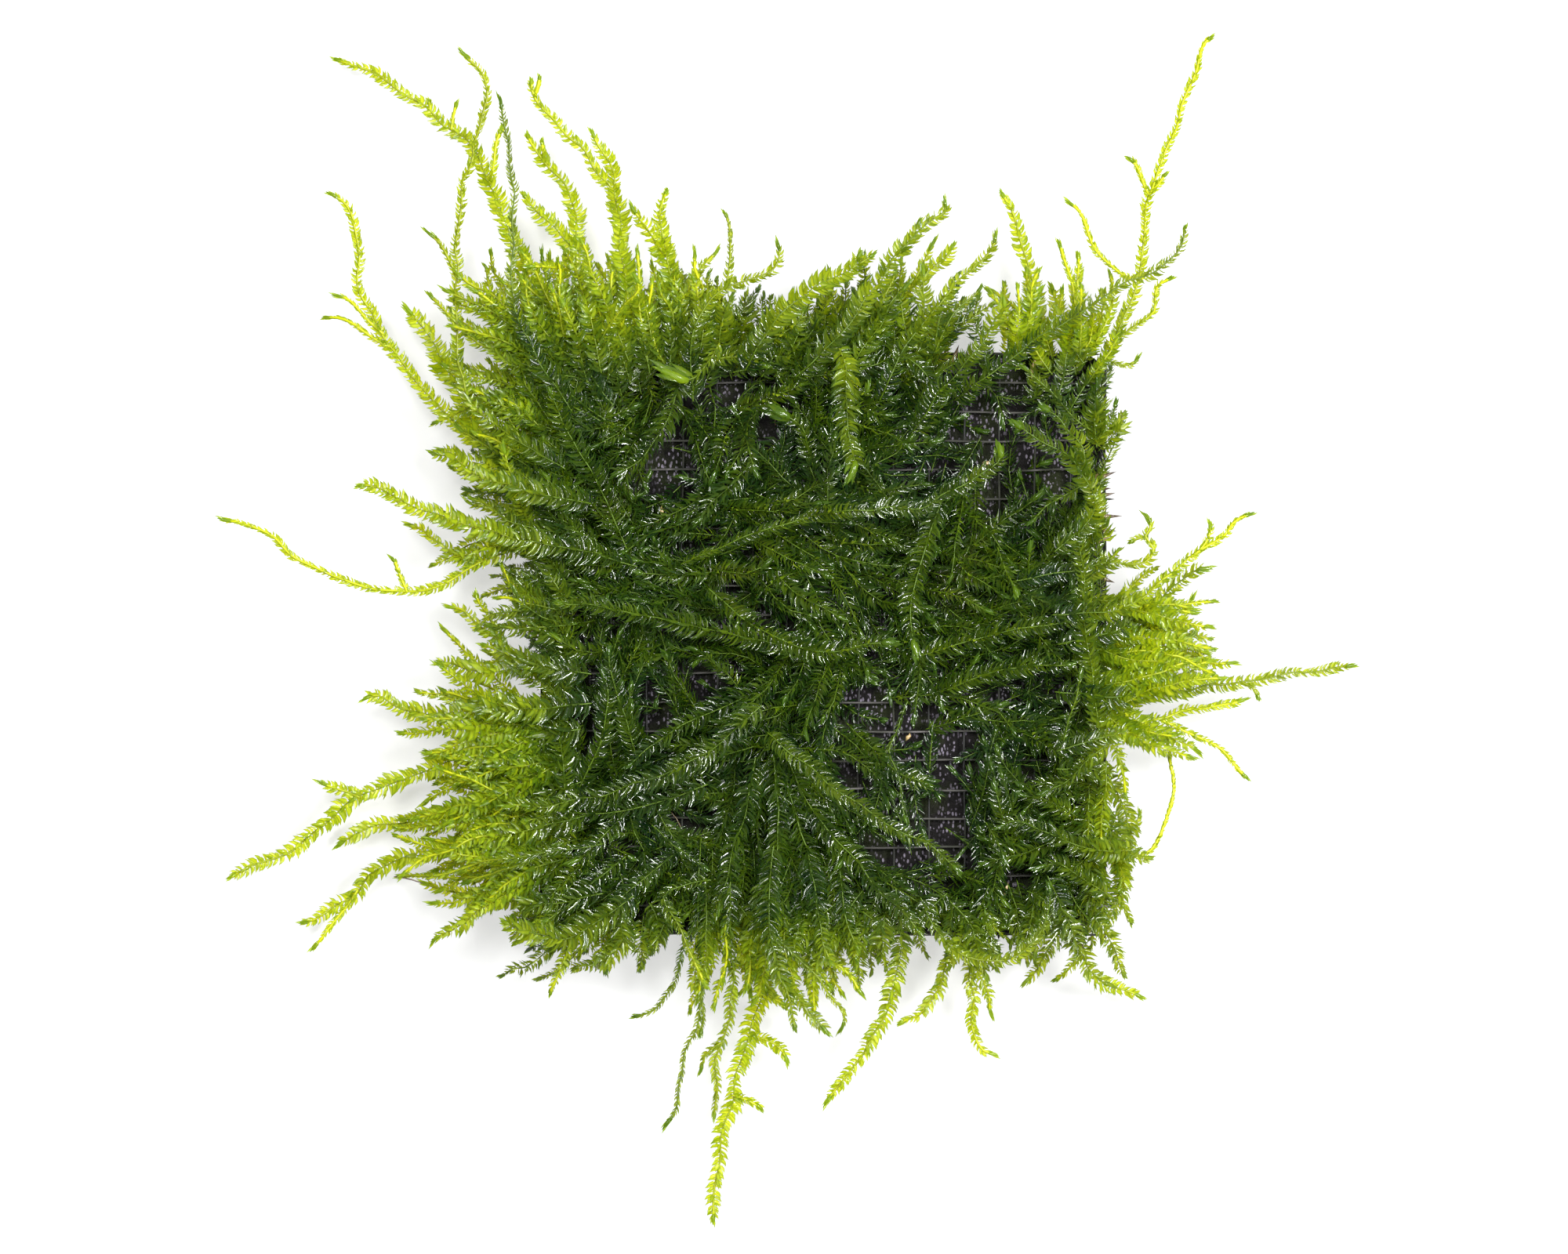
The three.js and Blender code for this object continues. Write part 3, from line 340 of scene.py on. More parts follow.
def closed_tip(sheaf, line, start, radius, young, rng):
    """The closed leaves at a shoot's end."""
    thick, sides, count, shortest, broad, bud = BLADE_TIP if radius > BLADE_RADIUS else PLAIN_TIP
    length = lengths_along(line)[-1] - start
    shares, sizes = TIP_SHAPE
    rings = len(shares)
    marks = np.column_stack([np.full(rings, rng.uniform(*STEM_TONES)), shares, np.full(rings, TIP_EDGE),
                             np.full(rings, young), np.ones(rings)])
    spindle = at_lengths(line, start + shares * length * TIP_SPINDLE)
    tube(sheaf, spindle, sizes * (radius * thick), sides, marks, LEAF_SLOT)
    foot = at_lengths(line, start + np.linspace(*TIP_FEET, count) * length)
    along = np.repeat(unit(line[-1] - at_lengths(line, [start])), count, axis=0)
    side = unit(np.cross(UP, along))
    turn = np.arange(count) * TURN_PER_LEAF + rng.uniform(*ANY_TURN)
    size = length * rng.uniform(shortest, TIP_LONGEST, count)
    spread = np.arcsin(np.clip(radius * TIP_SPREAD / size, 0, 0.5))
    tone = rng.uniform(*TIP_TONES, count)
    leaves(sheaf, FULL_LEAF, foot, along, side, np.cross(along, side), turn, size, spread,
           np.full(count, broad * radius), tone, np.full(count, young), bud, rng)


# Shoots: how far inside the pad's edge they begin to lighten, and over what length
YOUNG_INSIDE = 4
YOUNG_OVER = 9
# A closed tip's usual length, its random share, its radius and what a wide shoot adds to it, the most
# of a shoot that it may take, with or without a blade, and the share of it that stands past the leaves
TIP_LENGTH = 1.7
TIP_LENGTHS = 0.6, 1.2
TIP_RADIUS = 0.13
TIP_PER_WIDTH = 0.06
TIP_MOST = 0.4
BLADE_MOST = 0.55
TIP_PAST = 0.85
TIP_OVERLAP = 0.2
BLADE_YOUTH = 0.2
# Where a shoot starts to taper, in millimetres from its end, its width there as shares of the one in
# its middle and the one at its tip, and its width at the end for the one at its tip
TAPER = 2.8
TAPER_MIX = 0.55, 0.45
TAPER_END = 0.8
# A shoot as narrow as a whip, and how much wider one is that is fully leafy, or closely leafy
WHIP_WIDTH = 0.7
LEAFY_OVER = 1.5
CLOSE_OVER = 1.4
# A stem's radius, what a wide shoot and a bare whip add to it, and how pale a leafy one is and how much
# paler a bare one
STEM_RADIUS = 0.045
STEM_PER_WIDTH = 0.008
WHIP_RADIUS = 0.085
STEM_PALE = 0.62, 0.38
# The length of stem for each leaf, how much more a young and a thin shoot has, where the first leaf
# stands, and how unevenly they stand
LEAF_PITCH = 0.082
YOUNG_PITCH = 0.24
YOUNG_POWER = 1.5
THIN_PITCH = 0.4
FIRST_LEAF = 0.1
PITCH_JITTER = 0.3
# A leaf's length from its shoot's width, and the least and most it may be; its width for its length; how
# far above or below the stem's middle its foot lies; how much less the leaves of a thin shoot reach, and
# the least and most reach for a leaf's length; and the share of the spread that a leaf on top has, and
# how much more one at the side has
LEAF_LENGTH = 0.24
LENGTH_PER_WIDTH = 0.46
YOUNG_SHORTER = 0.08
LEAF_LENGTHS = 0.42, 1.6
LEAF_WIDTH = 0.16
YOUNG_BROADER = 0.22
THIN_BROADER = 0.05
LEAF_FOOT = 0.05
THIN_REACH = 0.08
LEAF_REACH = 0.14, 0.92
SIDE_SPREAD = 0.78, 0.22
# How much leaves differ at random in turn, length, spread, width and tone
TURN_VARIES = 0.25
LENGTH_VARIES = 0.12
SPREAD_VARIES = 0.1
WIDTH_VARIES = 0.15
TONE_VARIES = 0.36
# Over what length a shoot rolls, and how much and over what length its width and its tone change
ROLL_WAVE = 9
WIDTH_WAVE = 0.12, 5
TONE_WAVE = 0.2, 6


def youth(points):
    """How far out of the pad a point is: 0 over its middle, 1 well outside its edges."""
    past = np.maximum(np.abs(points[:, 0]) - MAT_HIGH[0], np.abs(points[:, 1]) - MAT_HIGH[1])
    return np.clip((past + YOUNG_INSIDE) / YOUNG_OVER, 0, 1)


def thinness(width, over=LEAFY_OVER):
    """1 where a shoot is as narrow as a whip, 0 where it is leafy."""
    return 1 - np.clip((width - WHIP_WIDTH) / over, 0, 1)


def add_stem(sheaf, line, end, width_at, young_at, plain, rng):
    """A shoot's stem up to its closed tip, thicker and paler where it has few leaves."""
    steps = lengths_along(line)
    step = LINE_STEP * (2 if plain else 1)
    stem = at_lengths(line, np.linspace(0, end + TIP_OVERLAP, max(3, round(end / step))))
    share = np.linspace(0, end / steps[-1], len(stem))
    marks = np.zeros((len(stem), len(MARKS)))
    marks[:, MARKS.index("tone")] = rng.uniform(*STEM_TONES)
    young = np.interp(share * steps[-1], steps, young_at)
    width = width_at(share)
    bare = thinness(width)
    marks[:, MARKS.index("young")] = young * ramp(STEM_PALE, bare)
    radius = STEM_RADIUS + STEM_PER_WIDTH * width + WHIP_RADIUS * (bare ** 0.5 * young)
    tube(sheaf, stem, radius, 3 if plain else 5, marks, STEM_SLOT)


def leaf_places(line, end, width_at, rng):
    """How far along a shoot each of its leaves stands."""
    steps = lengths_along(line)
    thin = thinness(width_at(steps / steps[-1]), CLOSE_OVER)
    pitch = LEAF_PITCH * (1 + YOUNG_PITCH * youth(line) ** YOUNG_POWER + THIN_PITCH * thin)
    number = np.concatenate([[0], np.cumsum(np.diff(steps) / pitch[1:])])
    where = np.interp(np.arange(0, number[-1]), number, steps) + FIRST_LEAF
    where = where[where < end + TIP_OVERLAP]
    return np.clip(where + rng.normal(0, LEAF_PITCH * PITCH_JITTER, len(where)), 0, end + TIP_OVERLAP)


def shoot(sheaf, line, width, rng, roll=0.3, fresh=0.0, form=FULL_LEAF, blade_tip=None,
          flat=FLATTENED, painted_shade=0.0):
    """A stem along a line with leaves all round it and a closed tip. width is the leafy width at its
    root, middle and tip; fresh makes it younger; painted_shade paints its leaves lighter above 0 as
    painted light and darker below 0 as painted shade. A blade tip is a long smooth one: its length and
    radius."""
    steps = lengths_along(line)
    total = steps[-1]
    tip_length, tip_radius = TIP_LENGTH * rng.uniform(*TIP_LENGTHS), TIP_RADIUS + TIP_PER_WIDTH * width[2]
    if blade_tip:
        tip_length, tip_radius = blade_tip
    tip_length = min(tip_length, total * (BLADE_MOST if blade_tip else TIP_MOST))
    end = total - tip_length * TIP_PAST
    shares = (0, 0.5, max(0.6, 1 - TAPER / total), 1)
    tapered = TAPER_MIX[0] * width[1] + TAPER_MIX[1] * width[2]
    widths = (width[0], width[1], tapered, width[2] * TAPER_END)
    young_at = np.clip(youth(line) + fresh, 0, 1)

    def width_at(share):
        return np.interp(share, shares, widths)

    add_stem(sheaf, line, end, width_at, young_at, form is PLAIN_LEAF, rng)
    where = leaf_places(line, end, width_at, rng)
    count = len(where)
    axes = frames(line, roll * waves(steps, ROLL_WAVE, rng))
    along, side, back = (unit(values_at(where, steps, axis)) for axis in axes)
    leafy = width_at(where / total) * (1 + WIDTH_WAVE[0] * waves(where, WIDTH_WAVE[1], rng))
    turn = np.arange(count) * TURN_PER_LEAF + rng.normal(0, TURN_VARIES, count) + rng.uniform(*ANY_TURN)
    young = np.interp(where, steps, young_at)
    narrow = thinness(leafy)
    length = np.clip(LEAF_LENGTH + (LENGTH_PER_WIDTH - YOUNG_SHORTER * young) * leafy, *LEAF_LENGTHS)
    length *= rng.normal(1, LENGTH_VARIES, count)
    reach = np.clip((leafy / 2 - LEAF_FOOT - THIN_REACH * narrow) / length, *LEAF_REACH)
    spread = np.arcsin(reach) * ramp(SIDE_SPREAD, np.abs(np.cos(turn)))
    spread *= rng.normal(1, SPREAD_VARIES, count)
    # Painted light and shade: painted_shade shifts the leaves' tones lighter or darker.
    tone = rng.normal(0.5 + painted_shade, TONE_VARIES, count) + TONE_WAVE[0] * waves(where, TONE_WAVE[1], rng)
    tone = np.clip(tone, 0, 1)
    blade = length * (LEAF_WIDTH + YOUNG_BROADER * young + THIN_BROADER * narrow)
    blade *= rng.normal(1, WIDTH_VARIES, count)
    foot = at_lengths(line, where) + back * rng.choice((-1, 1), count)[:, None] * LEAF_FOOT
    leaves(sheaf, form, foot, along, side, back, turn, length, spread, blade, tone, young, 0.0, rng, flat)
    tip_young = min(1, young_at[-1] + (BLADE_YOUTH if blade_tip else 0))
    closed_tip(sheaf, line, end, tip_radius, tip_young, rng)


# Materials
class Finish:
    """A material, and short ways to add nodes to it."""

    def __init__(self, name):
        self.material = bpy.data.materials.new(name)
        self.material.use_nodes = True
        self.tree = self.material.node_tree
        self.tree.nodes.clear()

    def feed(self, socket, value):
        if isinstance(value, bpy.types.NodeSocket):
            self.tree.links.new(value, socket)
        else:
            socket.default_value = value

    def node(self, kind, inputs=None, **settings):
        made = self.tree.nodes.new("ShaderNode" + kind)
        for key, value in settings.items():
            setattr(made, key, value)
        for key, value in (inputs or {}).items():
            self.feed(made.inputs[key], value)
        return made

    def mark(self, name):
        """A surface value that the mesh carries."""
        return self.node("Attribute", attribute_name=name, attribute_type="GEOMETRY").outputs["Fac"]

    def math(self, operation, *values, clamp=False):
        made = self.node("Math", operation=operation, use_clamp=clamp)
        for socket, value in zip(made.inputs, values):
            self.feed(socket, value)
        return made.outputs[0]

    def place(self):
        return self.node("TexCoord").outputs["Object"]

    def noise(self, per_metre):
        inputs = {"Vector": self.place(), "Scale": per_metre, "Detail": 2.0}
        return self.node("TexNoise", inputs).outputs["Fac"]

    def bump(self, per_metre, strength, depth):
        inputs = {"Height": self.noise(per_metre), "Strength": strength, "Distance": depth}
        return self.node("Bump", inputs).outputs[0]

    def patches(self, noise, gain, start):
        """Noise as patches from 0 to 1, the sharper the higher the gain."""
        return self.math("MULTIPLY_ADD", noise, gain, start, clamp=True)

    def less(self, factor, share):
        """1, less a share of a factor."""
        return self.math("MULTIPLY_ADD", factor, -share, 1.0)

    def blend(self, factor, first, second):
        """A colour between two colours."""
        made = self.node("Mix", data_type="RGBA")
        for index, value in zip((0, 6, 7), (factor, first, second)):
            self.feed(made.inputs[index], (*value, 1) if isinstance(value, tuple) else value)
        return made.outputs[2]

    def tint(self, colour, factor, share, other):
        """A colour taken towards another by a share of a factor."""
        return self.blend(self.math("MULTIPLY", factor, share), colour, other)

    def made(self, settings, through=None, share=0.0):
        """The material of a shader, which lets a share of the light through in a colour."""
        shader = self.node("BsdfPrincipled", settings)
        if through:
            lit = self.node("BsdfTranslucent", {"Color": through})
            shader = self.node("MixShader", {0: share, 1: shader.outputs[0], 2: lit.outputs[0]})
        self.node("OutputMaterial", {"Surface": shader.outputs[0]})
        return self.material


def leaf():
    """Old leaves are dark with teal and olive patches, young ones bright. A leaf's rim is painted a darker
    green as shade where it turns edge-on, its tip is darker green too, and its back has the colour of
    the light that comes through."""
    skin = Finish("leaf")
    tone, edge, bud = skin.mark("tone"), skin.mark("edge"), skin.mark("bud")
    unevenly = skin.math("MULTIPLY_ADD", skin.noise(120.0), 1.6, -0.8)
    young = skin.math("MULTIPLY_ADD", unevenly, 0.35, skin.mark("young"), clamp=True)
    tip = skin.math("POWER", skin.mark("along"), 3.0)
    # Painted shade: the rim, where a leaf turns edge-on, is painted darker green; the tip is darker too.
    rim = skin.math("MULTIPLY_ADD", tip, 0.3, skin.math("POWER", edge, 2.2))
    spread = skin.noise(105.0)
    teal = skin.patches(spread, 6.0, -2.95)
    olive = skin.patches(spread, -7.0, 2.8)

    old = skin.blend(tone, (0.003, 0.008, 0.002), (0.052, 0.088, 0.006))
    old = skin.tint(old, teal, 0.8, (0.006, 0.022, 0.015))
    old = skin.tint(old, olive, 0.55, (0.085, 0.075, 0.008))
    front = skin.blend(young, old, skin.blend(tone, (0.07, 0.14, 0.003), (0.27, 0.38, 0.012)))
    # The front's rim painted darker as shade.
    front = skin.tint(front, rim, 0.7, (0.014, 0.055, 0.005))
    front = skin.tint(front, bud, 0.35, (0.1, 0.2, 0.02))

    old = skin.blend(tone, (0.035, 0.08, 0.005), (0.33, 0.45, 0.02))
    old = skin.tint(old, teal, 0.75, (0.025, 0.085, 0.035))
    back = skin.blend(young, old, skin.blend(tone, (0.74, 0.78, 0.002), (1.0, 0.95, 0.05)))
    # The back's rim painted darker as shade.
    back = skin.tint(back, rim, 0.6, (0.07, 0.24, 0.008))
    back = skin.tint(back, bud, 0.35, (0.2, 0.4, 0.03))

    dull = skin.patches(skin.noise(80.0), -7.0, 3.7)
    gloss = skin.math("MULTIPLY", skin.less(young, 0.65), skin.less(dull, 0.75))
    wet = skin.bump(4200.0, 0.32, 0.0001)
    return skin.made({
        "Base Color": front, "Roughness": 0.5, "Specular IOR Level": 0.2, "Coat Weight": gloss,
        "Coat Roughness": 0.07, "Coat IOR": 2.0, "Normal": wet, "Coat Normal": wet,
    }, back, 0.72)


def stem():
    skin = Finish("stem")
    pale = skin.math("POWER", skin.mark("young"), 2.4)
    colour = skin.blend(pale, (0.04, 0.09, 0.004), (0.5, 0.52, 0.006))
    colour = skin.tint(colour, skin.noise(900.0), 0.3, (0.18, 0.22, 0.004))
    return skin.made({"Base Color": colour, "Roughness": 0.4, "Specular IOR Level": 0.3}, colour, 0.4)


def dry():
    """Dead stalk and husk: dark brown to tan."""
    skin = Finish("dry")
    stain = skin.patches(skin.noise(1500.0), 4.0, -1.9)
    colour = skin.blend(skin.mark("tone"), (0.03, 0.014, 0.008), (0.5, 0.36, 0.16))
    colour = skin.tint(colour, stain, 0.6, (0.08, 0.045, 0.02))
    return skin.made({
        "Base Color": colour, "Roughness": 0.45, "Coat Weight": 0.6, "Coat Roughness": 0.1,
    }, colour, 0.3)


def wire():
    """Dull steel with dirt; the lower layer painted darker as shade under the upper one, and a painted gleam
    of highlight here and there on the upper layer.
    """
    skin = Finish("wire")
    upper = skin.mark("tone")
    dirt = skin.patches(skin.noise(260.0), 6.0, -2.8)
    painted_gleam = skin.patches(skin.noise(190.0), 8.0, -4.7)
    # Painted shade: the lower layer darker; painted highlight: pale gleaming patches on the upper layer.
    steel_painted_shade_and_gleam = skin.blend(upper, (0.01, 0.01, 0.01), (0.034, 0.032, 0.03))
    steel_painted_shade_and_gleam = skin.tint(steel_painted_shade_and_gleam, painted_gleam, upper, (0.22, 0.2, 0.21))
    return skin.made({
        "Base Color": skin.blend(dirt, steel_painted_shade_and_gleam, (0.018, 0.019, 0.014)), "Metallic": 0.3,
        "Roughness": skin.math("MULTIPLY_ADD", dirt, 0.25, 0.6), "Specular IOR Level": 0.2,
    })


def cloth():
    """Black fibre with a green film, and patches of pale lilac specks painted in as the glints of wet loops.
    """
    skin = Finish("black_cloth")
    upright = skin.node("VectorMath", {0: skin.place(), 1: (3400.0, 1700.0, 3400.0)}, operation="MULTIPLY")
    # Painted highlights: pale lilac specks in columns stand in for glints on wet loops.
    cells = skin.node("TexVoronoi", {"Vector": upright.outputs[0], "Scale": 1.0, "Randomness": 0.9})
    painted_glint_specks = skin.math("SUBTRACT", 0.4, cells.outputs["Distance"])
    painted_glint_specks = skin.math("MULTIPLY", painted_glint_specks, 6.0, clamp=True)
    painted_glint_specks = skin.math("MULTIPLY", painted_glint_specks, skin.patches(skin.noise(500.0), 5.0, -1.9))
    ground = skin.blend(skin.noise(700.0), (0.002, 0.002, 0.002), (0.008, 0.007, 0.007))
    ground = skin.blend(skin.patches(skin.noise(330.0), 5.0, -2.2), ground, (0.008, 0.01, 0.004))
    return skin.made({
        "Base Color": skin.tint(ground, painted_glint_specks, 0.85, (0.12, 0.105, 0.135)), "Roughness": 0.8,
        "Specular IOR Level": 0.04, "Normal": skin.bump(4000.0, 0.8, 0.0003),
    })


def white_floor():
    return Finish("white_floor").made({
        "Base Color": (0.2, 0.2, 0.2, 1), "Roughness": 0.7, "Specular IOR Level": 0.1,
        "Emission Color": (1, 1, 1, 1), "Emission Strength": 0.55,
    })


moss_materials = (leaf(), stem())


# Fronds: each has the strands of the CAD node of its name, the first one its stem and the rest its
# twigs. A strand is its leafy width at the root, middle and tip, its route in plan and, where it ends
# in a blade, that one's length and radius.
FRONDS = {
    "far_northwest": [
        ((3.2, 2.0, 0.6), [(-22.5, 25.5), (-24.5, 29.5), (-27.4, 35.6), (-29.5, 40.8), (-31.2, 44.2),
         (-33.4, 46.1), (-37.8, 49.4), (-39.9, 50.8), (-44.1, 52.3)]),
        ((0.9, 0.8, 0.6), [(-33, 45.8), (-32.8, 47.2), (-32.5, 48.4)]),
        ((0.8, 0.7, 0.5), [(-34.9, 47.2), (-34.9, 48.6)]),
        ((1.2, 1, 0.7), [(-29.6, 40.9), (-28.9, 44), (-28.4, 46.6)]),
    ],
    "forked_north": [
        ((2.2, 1.7, 0.8), [(-17.2, 25.5), (-17.6, 30), (-18, 36.3), (-19.1, 40.8), (-20.8, 43.1),
         (-22.4, 45.1), (-24.6, 47.2), (-25.7, 48.9), (-26.1, 50.7)]),
        ((0.7, 0.6, 0.5), [(-25.6, 48.8), (-25.2, 50), (-25.1, 50.9)]),
    ],
    "branched_north": [
        ((2.8, 2.3, 0.7), [(-19.6, 24), (-20.6, 29), (-21.7, 34.9), (-22, 38.3), (-22.8, 40.6),
         (-24.3, 42.4), (-25.5, 43.8), (-26.4, 45.6)]),
        ((1, 0.8, 0.6), [(-24.5, 42.6), (-25, 44.9)]),
        ((2.4, 2.2, 1), [(-21.8, 34.9), (-24.3, 37.3), (-26.7, 40.3)]),
        ((1.8, 1.6, 0.8), [(-21.7, 33.1), (-24.3, 33.4), (-26.6, 33.2)]),
    ],
    "hooked_west": [
        ((3, 1.7, 0.6), [(-23, 12.5), (-28.5, 16.4), (-34, 21), (-37.8, 25.6), (-39.6, 28.4), (-41, 31.1),
         (-41.4, 34), (-41.3, 36.6), (-42.3, 38.6), (-44.2, 40.5)]),
        ((1, 0.8, 0.6), [(-39.1, 27.6), (-40.5, 28.9), (-42.3, 30.6), (-44, 31.3)]),
        ((1.1, 0.8, 0.6), [(-38.4, 26.4), (-40.3, 27.4), (-42, 28.6), (-44.6, 29.1)]),
        ((3, 3, 1.1), [(-30.2, 17.8), (-32.6, 23), (-35.4, 28), (-37.7, 30.3)]),
    ],
    "thin_west": [
        ((2, 1.1, 0.7), [(-22.5, 8.5), (-27.1, 8.5), (-29.7, 7.5), (-33.3, 5.6), (-35.6, 4.7), (-38, 4.7),
         (-40.4, 5.1), (-43.6, 6.1), (-46.8, 7.7), (-48.8, 9.5), (-51.6, 10.7), (-54, 11.4)]),
        ((0.9, 0.8, 0.6), [(-36.9, 4.7), (-37.6, 6.5), (-38.6, 8.1)]),
        ((1.9, 1.7, 0.9), [(-29.9, 7.4), (-32.4, 7.7), (-34.6, 9.5), (-37.3, 10.8)]),
    ],
    "long_southwest": [
        ((3.2, 2.3, 1.1), [(-21.5, -7.5), (-27.1, -8.2), (-31.3, -9.6), (-35.4, -11.3), (-38.6, -12.5),
         (-41.6, -13.7), (-43.8, -15.5), (-45.6, -17.1), (-47.6, -18.5), (-50.6, -19.7), (-53.3, -20.9)]),
        ((1.8, 1.4, 0.8), [(-41.2, -13.6), (-43.2, -12.8), (-45.2, -12)]),
    ],
    "second_southwest": [
        ((3.4, 2.4, 1.2), [(-21, -12), (-26.4, -13.8), (-31.3, -14.8), (-35.4, -15.6), (-38, -15.9),
         (-41.2, -16.6), (-43.8, -18.4)]),
    ],
    "forked_southwest": [
        ((3.2, 2.4, 0.8), [(-21, -15.1), (-27.8, -16.8), (-31.9, -17.6), (-35.4, -18.6), (-38.2, -19.3),
         (-40.3, -20.6), (-41.2, -21.7), (-42.8, -23.1), (-44.8, -24.2), (-46.9, -24.9)]),
        ((1.1, 0.9, 0.7), [(-41.4, -21.9), (-43.2, -24.4), (-44.6, -26.3), (-46, -27.4)]),
    ],
    "broad_southwest": [
        ((2.6, 2.2, 0.8), [(-19.5, -22), (-24.3, -22.9), (-27.6, -22.7), (-30.6, -22.4), (-33.6, -21.8),
         (-36.1, -21)]),
    ],
    "corner_southwest": [
        ((3.8, 3.4, 1.4), [(-16.8, -22.2), (-20.1, -24.6), (-22.9, -26), (-25.7, -25.4), (-28.7, -24.4)]),
        ((2.8, 2.6, 1), [(-18, -23.2), (-17.8, -26.6), (-20.3, -28.2), (-22.7, -29)]),
    ],
    "longest_south": [
        ((3, 2.3, 0.9), [(-5.4, -20.8), (-5.2, -24), (-5, -27.6), (-5.3, -30.8), (-6.2, -33.3),
         (-6.9, -35.6), (-7.8, -38.8), (-8.3, -41.3), (-9, -43.9), (-9.4, -46.7), (-9.7, -49.7),
         (-9.9, -52.1)]),
        ((1.2, 1.2, 0.8), [(-8, -40.1), (-6.6, -40.6), (-5, -41.6)]),
        ((1.4, 1.6, 0.8), [(-6.7, -34.7), (-4.6, -35.3), (-3.3, -36.5), (-3, -37.7)]),
        ((1.4, 1.2, 0.8), [(-5.3, -30.9), (-3.2, -32.1)]),
    ],
    "comb_south": [
        ((2.2, 1.7, 0.8), [(14.6, -21.4), (13.4, -25), (13.1, -29.2), (13.3, -31.5), (13.1, -33.5),
         (13.8, -35.5), (15.8, -36.8)]),
        ((1.6, 1.4, 0.8), [(13.2, -28), (14.4, -30.4), (15.1, -33.8)]),
        ((1.8, 1.8, 0.9), [(13.2, -26.4), (11, -28), (10.2, -30.8), (8.5, -32.8), (6.4, -33.8)]),
    ],
    "corner_southeast": [
        ((2.8, 2.5, 0.9), [(19.8, -20.5), (21.5, -24.2), (22.8, -27.3), (24.3, -29.6), (26.4, -30.7),
         (29, -31.7)]),
        ((2.2, 1.9, 0.9), [(21.4, -24.1), (20.5, -26), (19.1, -28.5), (17.7, -30.6)]),
        ((1.4, 1.2, 0.8), [(22.9, -27.4), (21.5, -29), (20.2, -30.2)]),
    ],
    "hanging_east": [
        ((2.6, 2.4, 1.4), [(20.6, -11), (24.4, -11.2), (26.2, -13.4), (27, -16.4), (26.8, -19.3),
         (26, -22.8), (24.9, -25.4)]),
        ((0.8, 0.7, 0.6), [(26.9, -18.8), (28.6, -18.6), (29.6, -17.5), (30.6, -15.6), (31, -12.7),
         (30.9, -9.4)]),
        ((0.8, 0.7, 0.6), [(27, -17), (28, -15.8), (28.2, -14.4)]),
        ((1.2, 1, 0.7), [(26.2, -22.6), (27.6, -25.1)]),
    ],
    "bud_east": [
        ((3, 2.2, 0.9), [(22, -1.4), (26.4, -1.6), (29.9, -1.4), (32.6, -1.2), (34.3, -0.3)]),
        ((1.8, 1.4, 0.8), [(32.4, -1.2), (35.2, -1.8), (37.2, -1.6)]),
        ((2, 1.3, 0.7), [(30, -1.4), (31.4, 0.2), (32.2, 2.6), (33.1, 4.8)]),
    ],
    "upright_northeast": [
        ((2.6, 2.2, 0.6), [(18.6, 21.4), (19.4, 26.5), (18.9, 30.1), (18.5, 32.7), (17.8, 35.1),
         (16.9, 38.1), (15.7, 40.6)]),
        ((0.9, 0.8, 0.6), [(19.3, 27.3), (17.8, 28.9), (15.9, 30.9), (14.3, 31.7)]),
        ((2.2, 2, 0.9), [(19.5, 26.6), (20.7, 30), (20, 32.4)]),
    ],
    "long_northeast": [
        ((2, 1.3, 0.6), [(21, 19.4), (23.3, 23.1), (25, 25.5), (26.4, 28.3), (27.4, 30.7), (28.1, 33.1),
         (28.5, 36), (28.6, 39), (29.4, 41), (30.4, 43.8), (31.5, 46.6), (32.6, 49.7), (33.5, 52.6),
         (34.9, 54)]),
        ((1, 0.9, 0.8), [(28.9, 39.8), (27.8, 42.2), (26.5, 43.3)]),
        ((1, 0.9, 0.6), [(29.1, 40.2), (30.6, 41.9)]),
        ((1, 0.9, 0.6), [(27.9, 32.4), (26.4, 32.8), (24.7, 34.3), (23.5, 36.5), (22.6, 38.3),
         (21.4, 39.6)]),
        ((1.2, 1, 0.7), [(25.8, 27), (27.6, 28.1), (29.2, 29.5), (29.6, 31.4), (31.3, 33)]),
        ((1, 0.8, 0.7), [(24.8, 25.2), (27, 24.7), (28.3, 25.9)]),
    ],
    "short_northeast": [
        ((2.4, 1.8, 0.7), [(20.6, 21), (21.9, 27.1), (22.4, 30.5), (22.6, 33.1), (22.5, 35)]),
        ((1.1, 1, 0.7), [(22.3, 30.1), (21.7, 33.3), (20.7, 36)]),
    ],
    "low_east": [
        ((2.2, 1.5, 0.7), [(20.6, -9.4), (25.7, -7.9), (29.9, -6.5), (33.6, -5.7), (35.6, -5.3),
         (38, -4.8)]),
        ((1.1, 0.9, 0.7), [(29.7, -6.6), (32.6, -7.9), (34.8, -9.1), (36.8, -10.7), (37.7, -12.2)]),
    ],
    "club_east": [
        ((3, 2.3, 1.2), [(20.8, 0), (26.4, 1.5), (29.8, 3.9), (31.6, 5.5), (33.2, 6.6), (34.7, 6.7)]),
    ],
    "longest_east": [
        ((3, 1.8, 0.7), [(20.5, -4.2), (25.7, -4.6), (28.8, -4.4), (32.8, -3.9), (35.8, -3.5),
         (38.8, -3.1), (41.9, -2.6), (44.7, -2.2), (47.7, -1.9)]),
        ((0.9, 0.8, 0.8), [(37.2, -3.4), (38.4, -4.2), (38.9, -5.1)]),
    ],
    "broad_west": [
        ((3.2, 2.8, 0.8), [(-20.5, -5.2), (-27.1, -5.8), (-31.3, -5.8), (-34.7, -6.3), (-38, -5.4),
         (-39.6, -4.7), (-41.6, -4.9)]),
    ],
    "crook_west": [
        ((3, 2.2, 0.7), [(-20.5, -2.6), (-25, -1.9), (-27.8, -0.7), (-29.2, 0.7), (-30.6, 1.9),
         (-32.2, 3.1), (-34, 3.5)]),
        ((1.6, 1.6, 0.9), [(-28.3, -0.2), (-29.5, 2.2), (-31, 4.9)]),
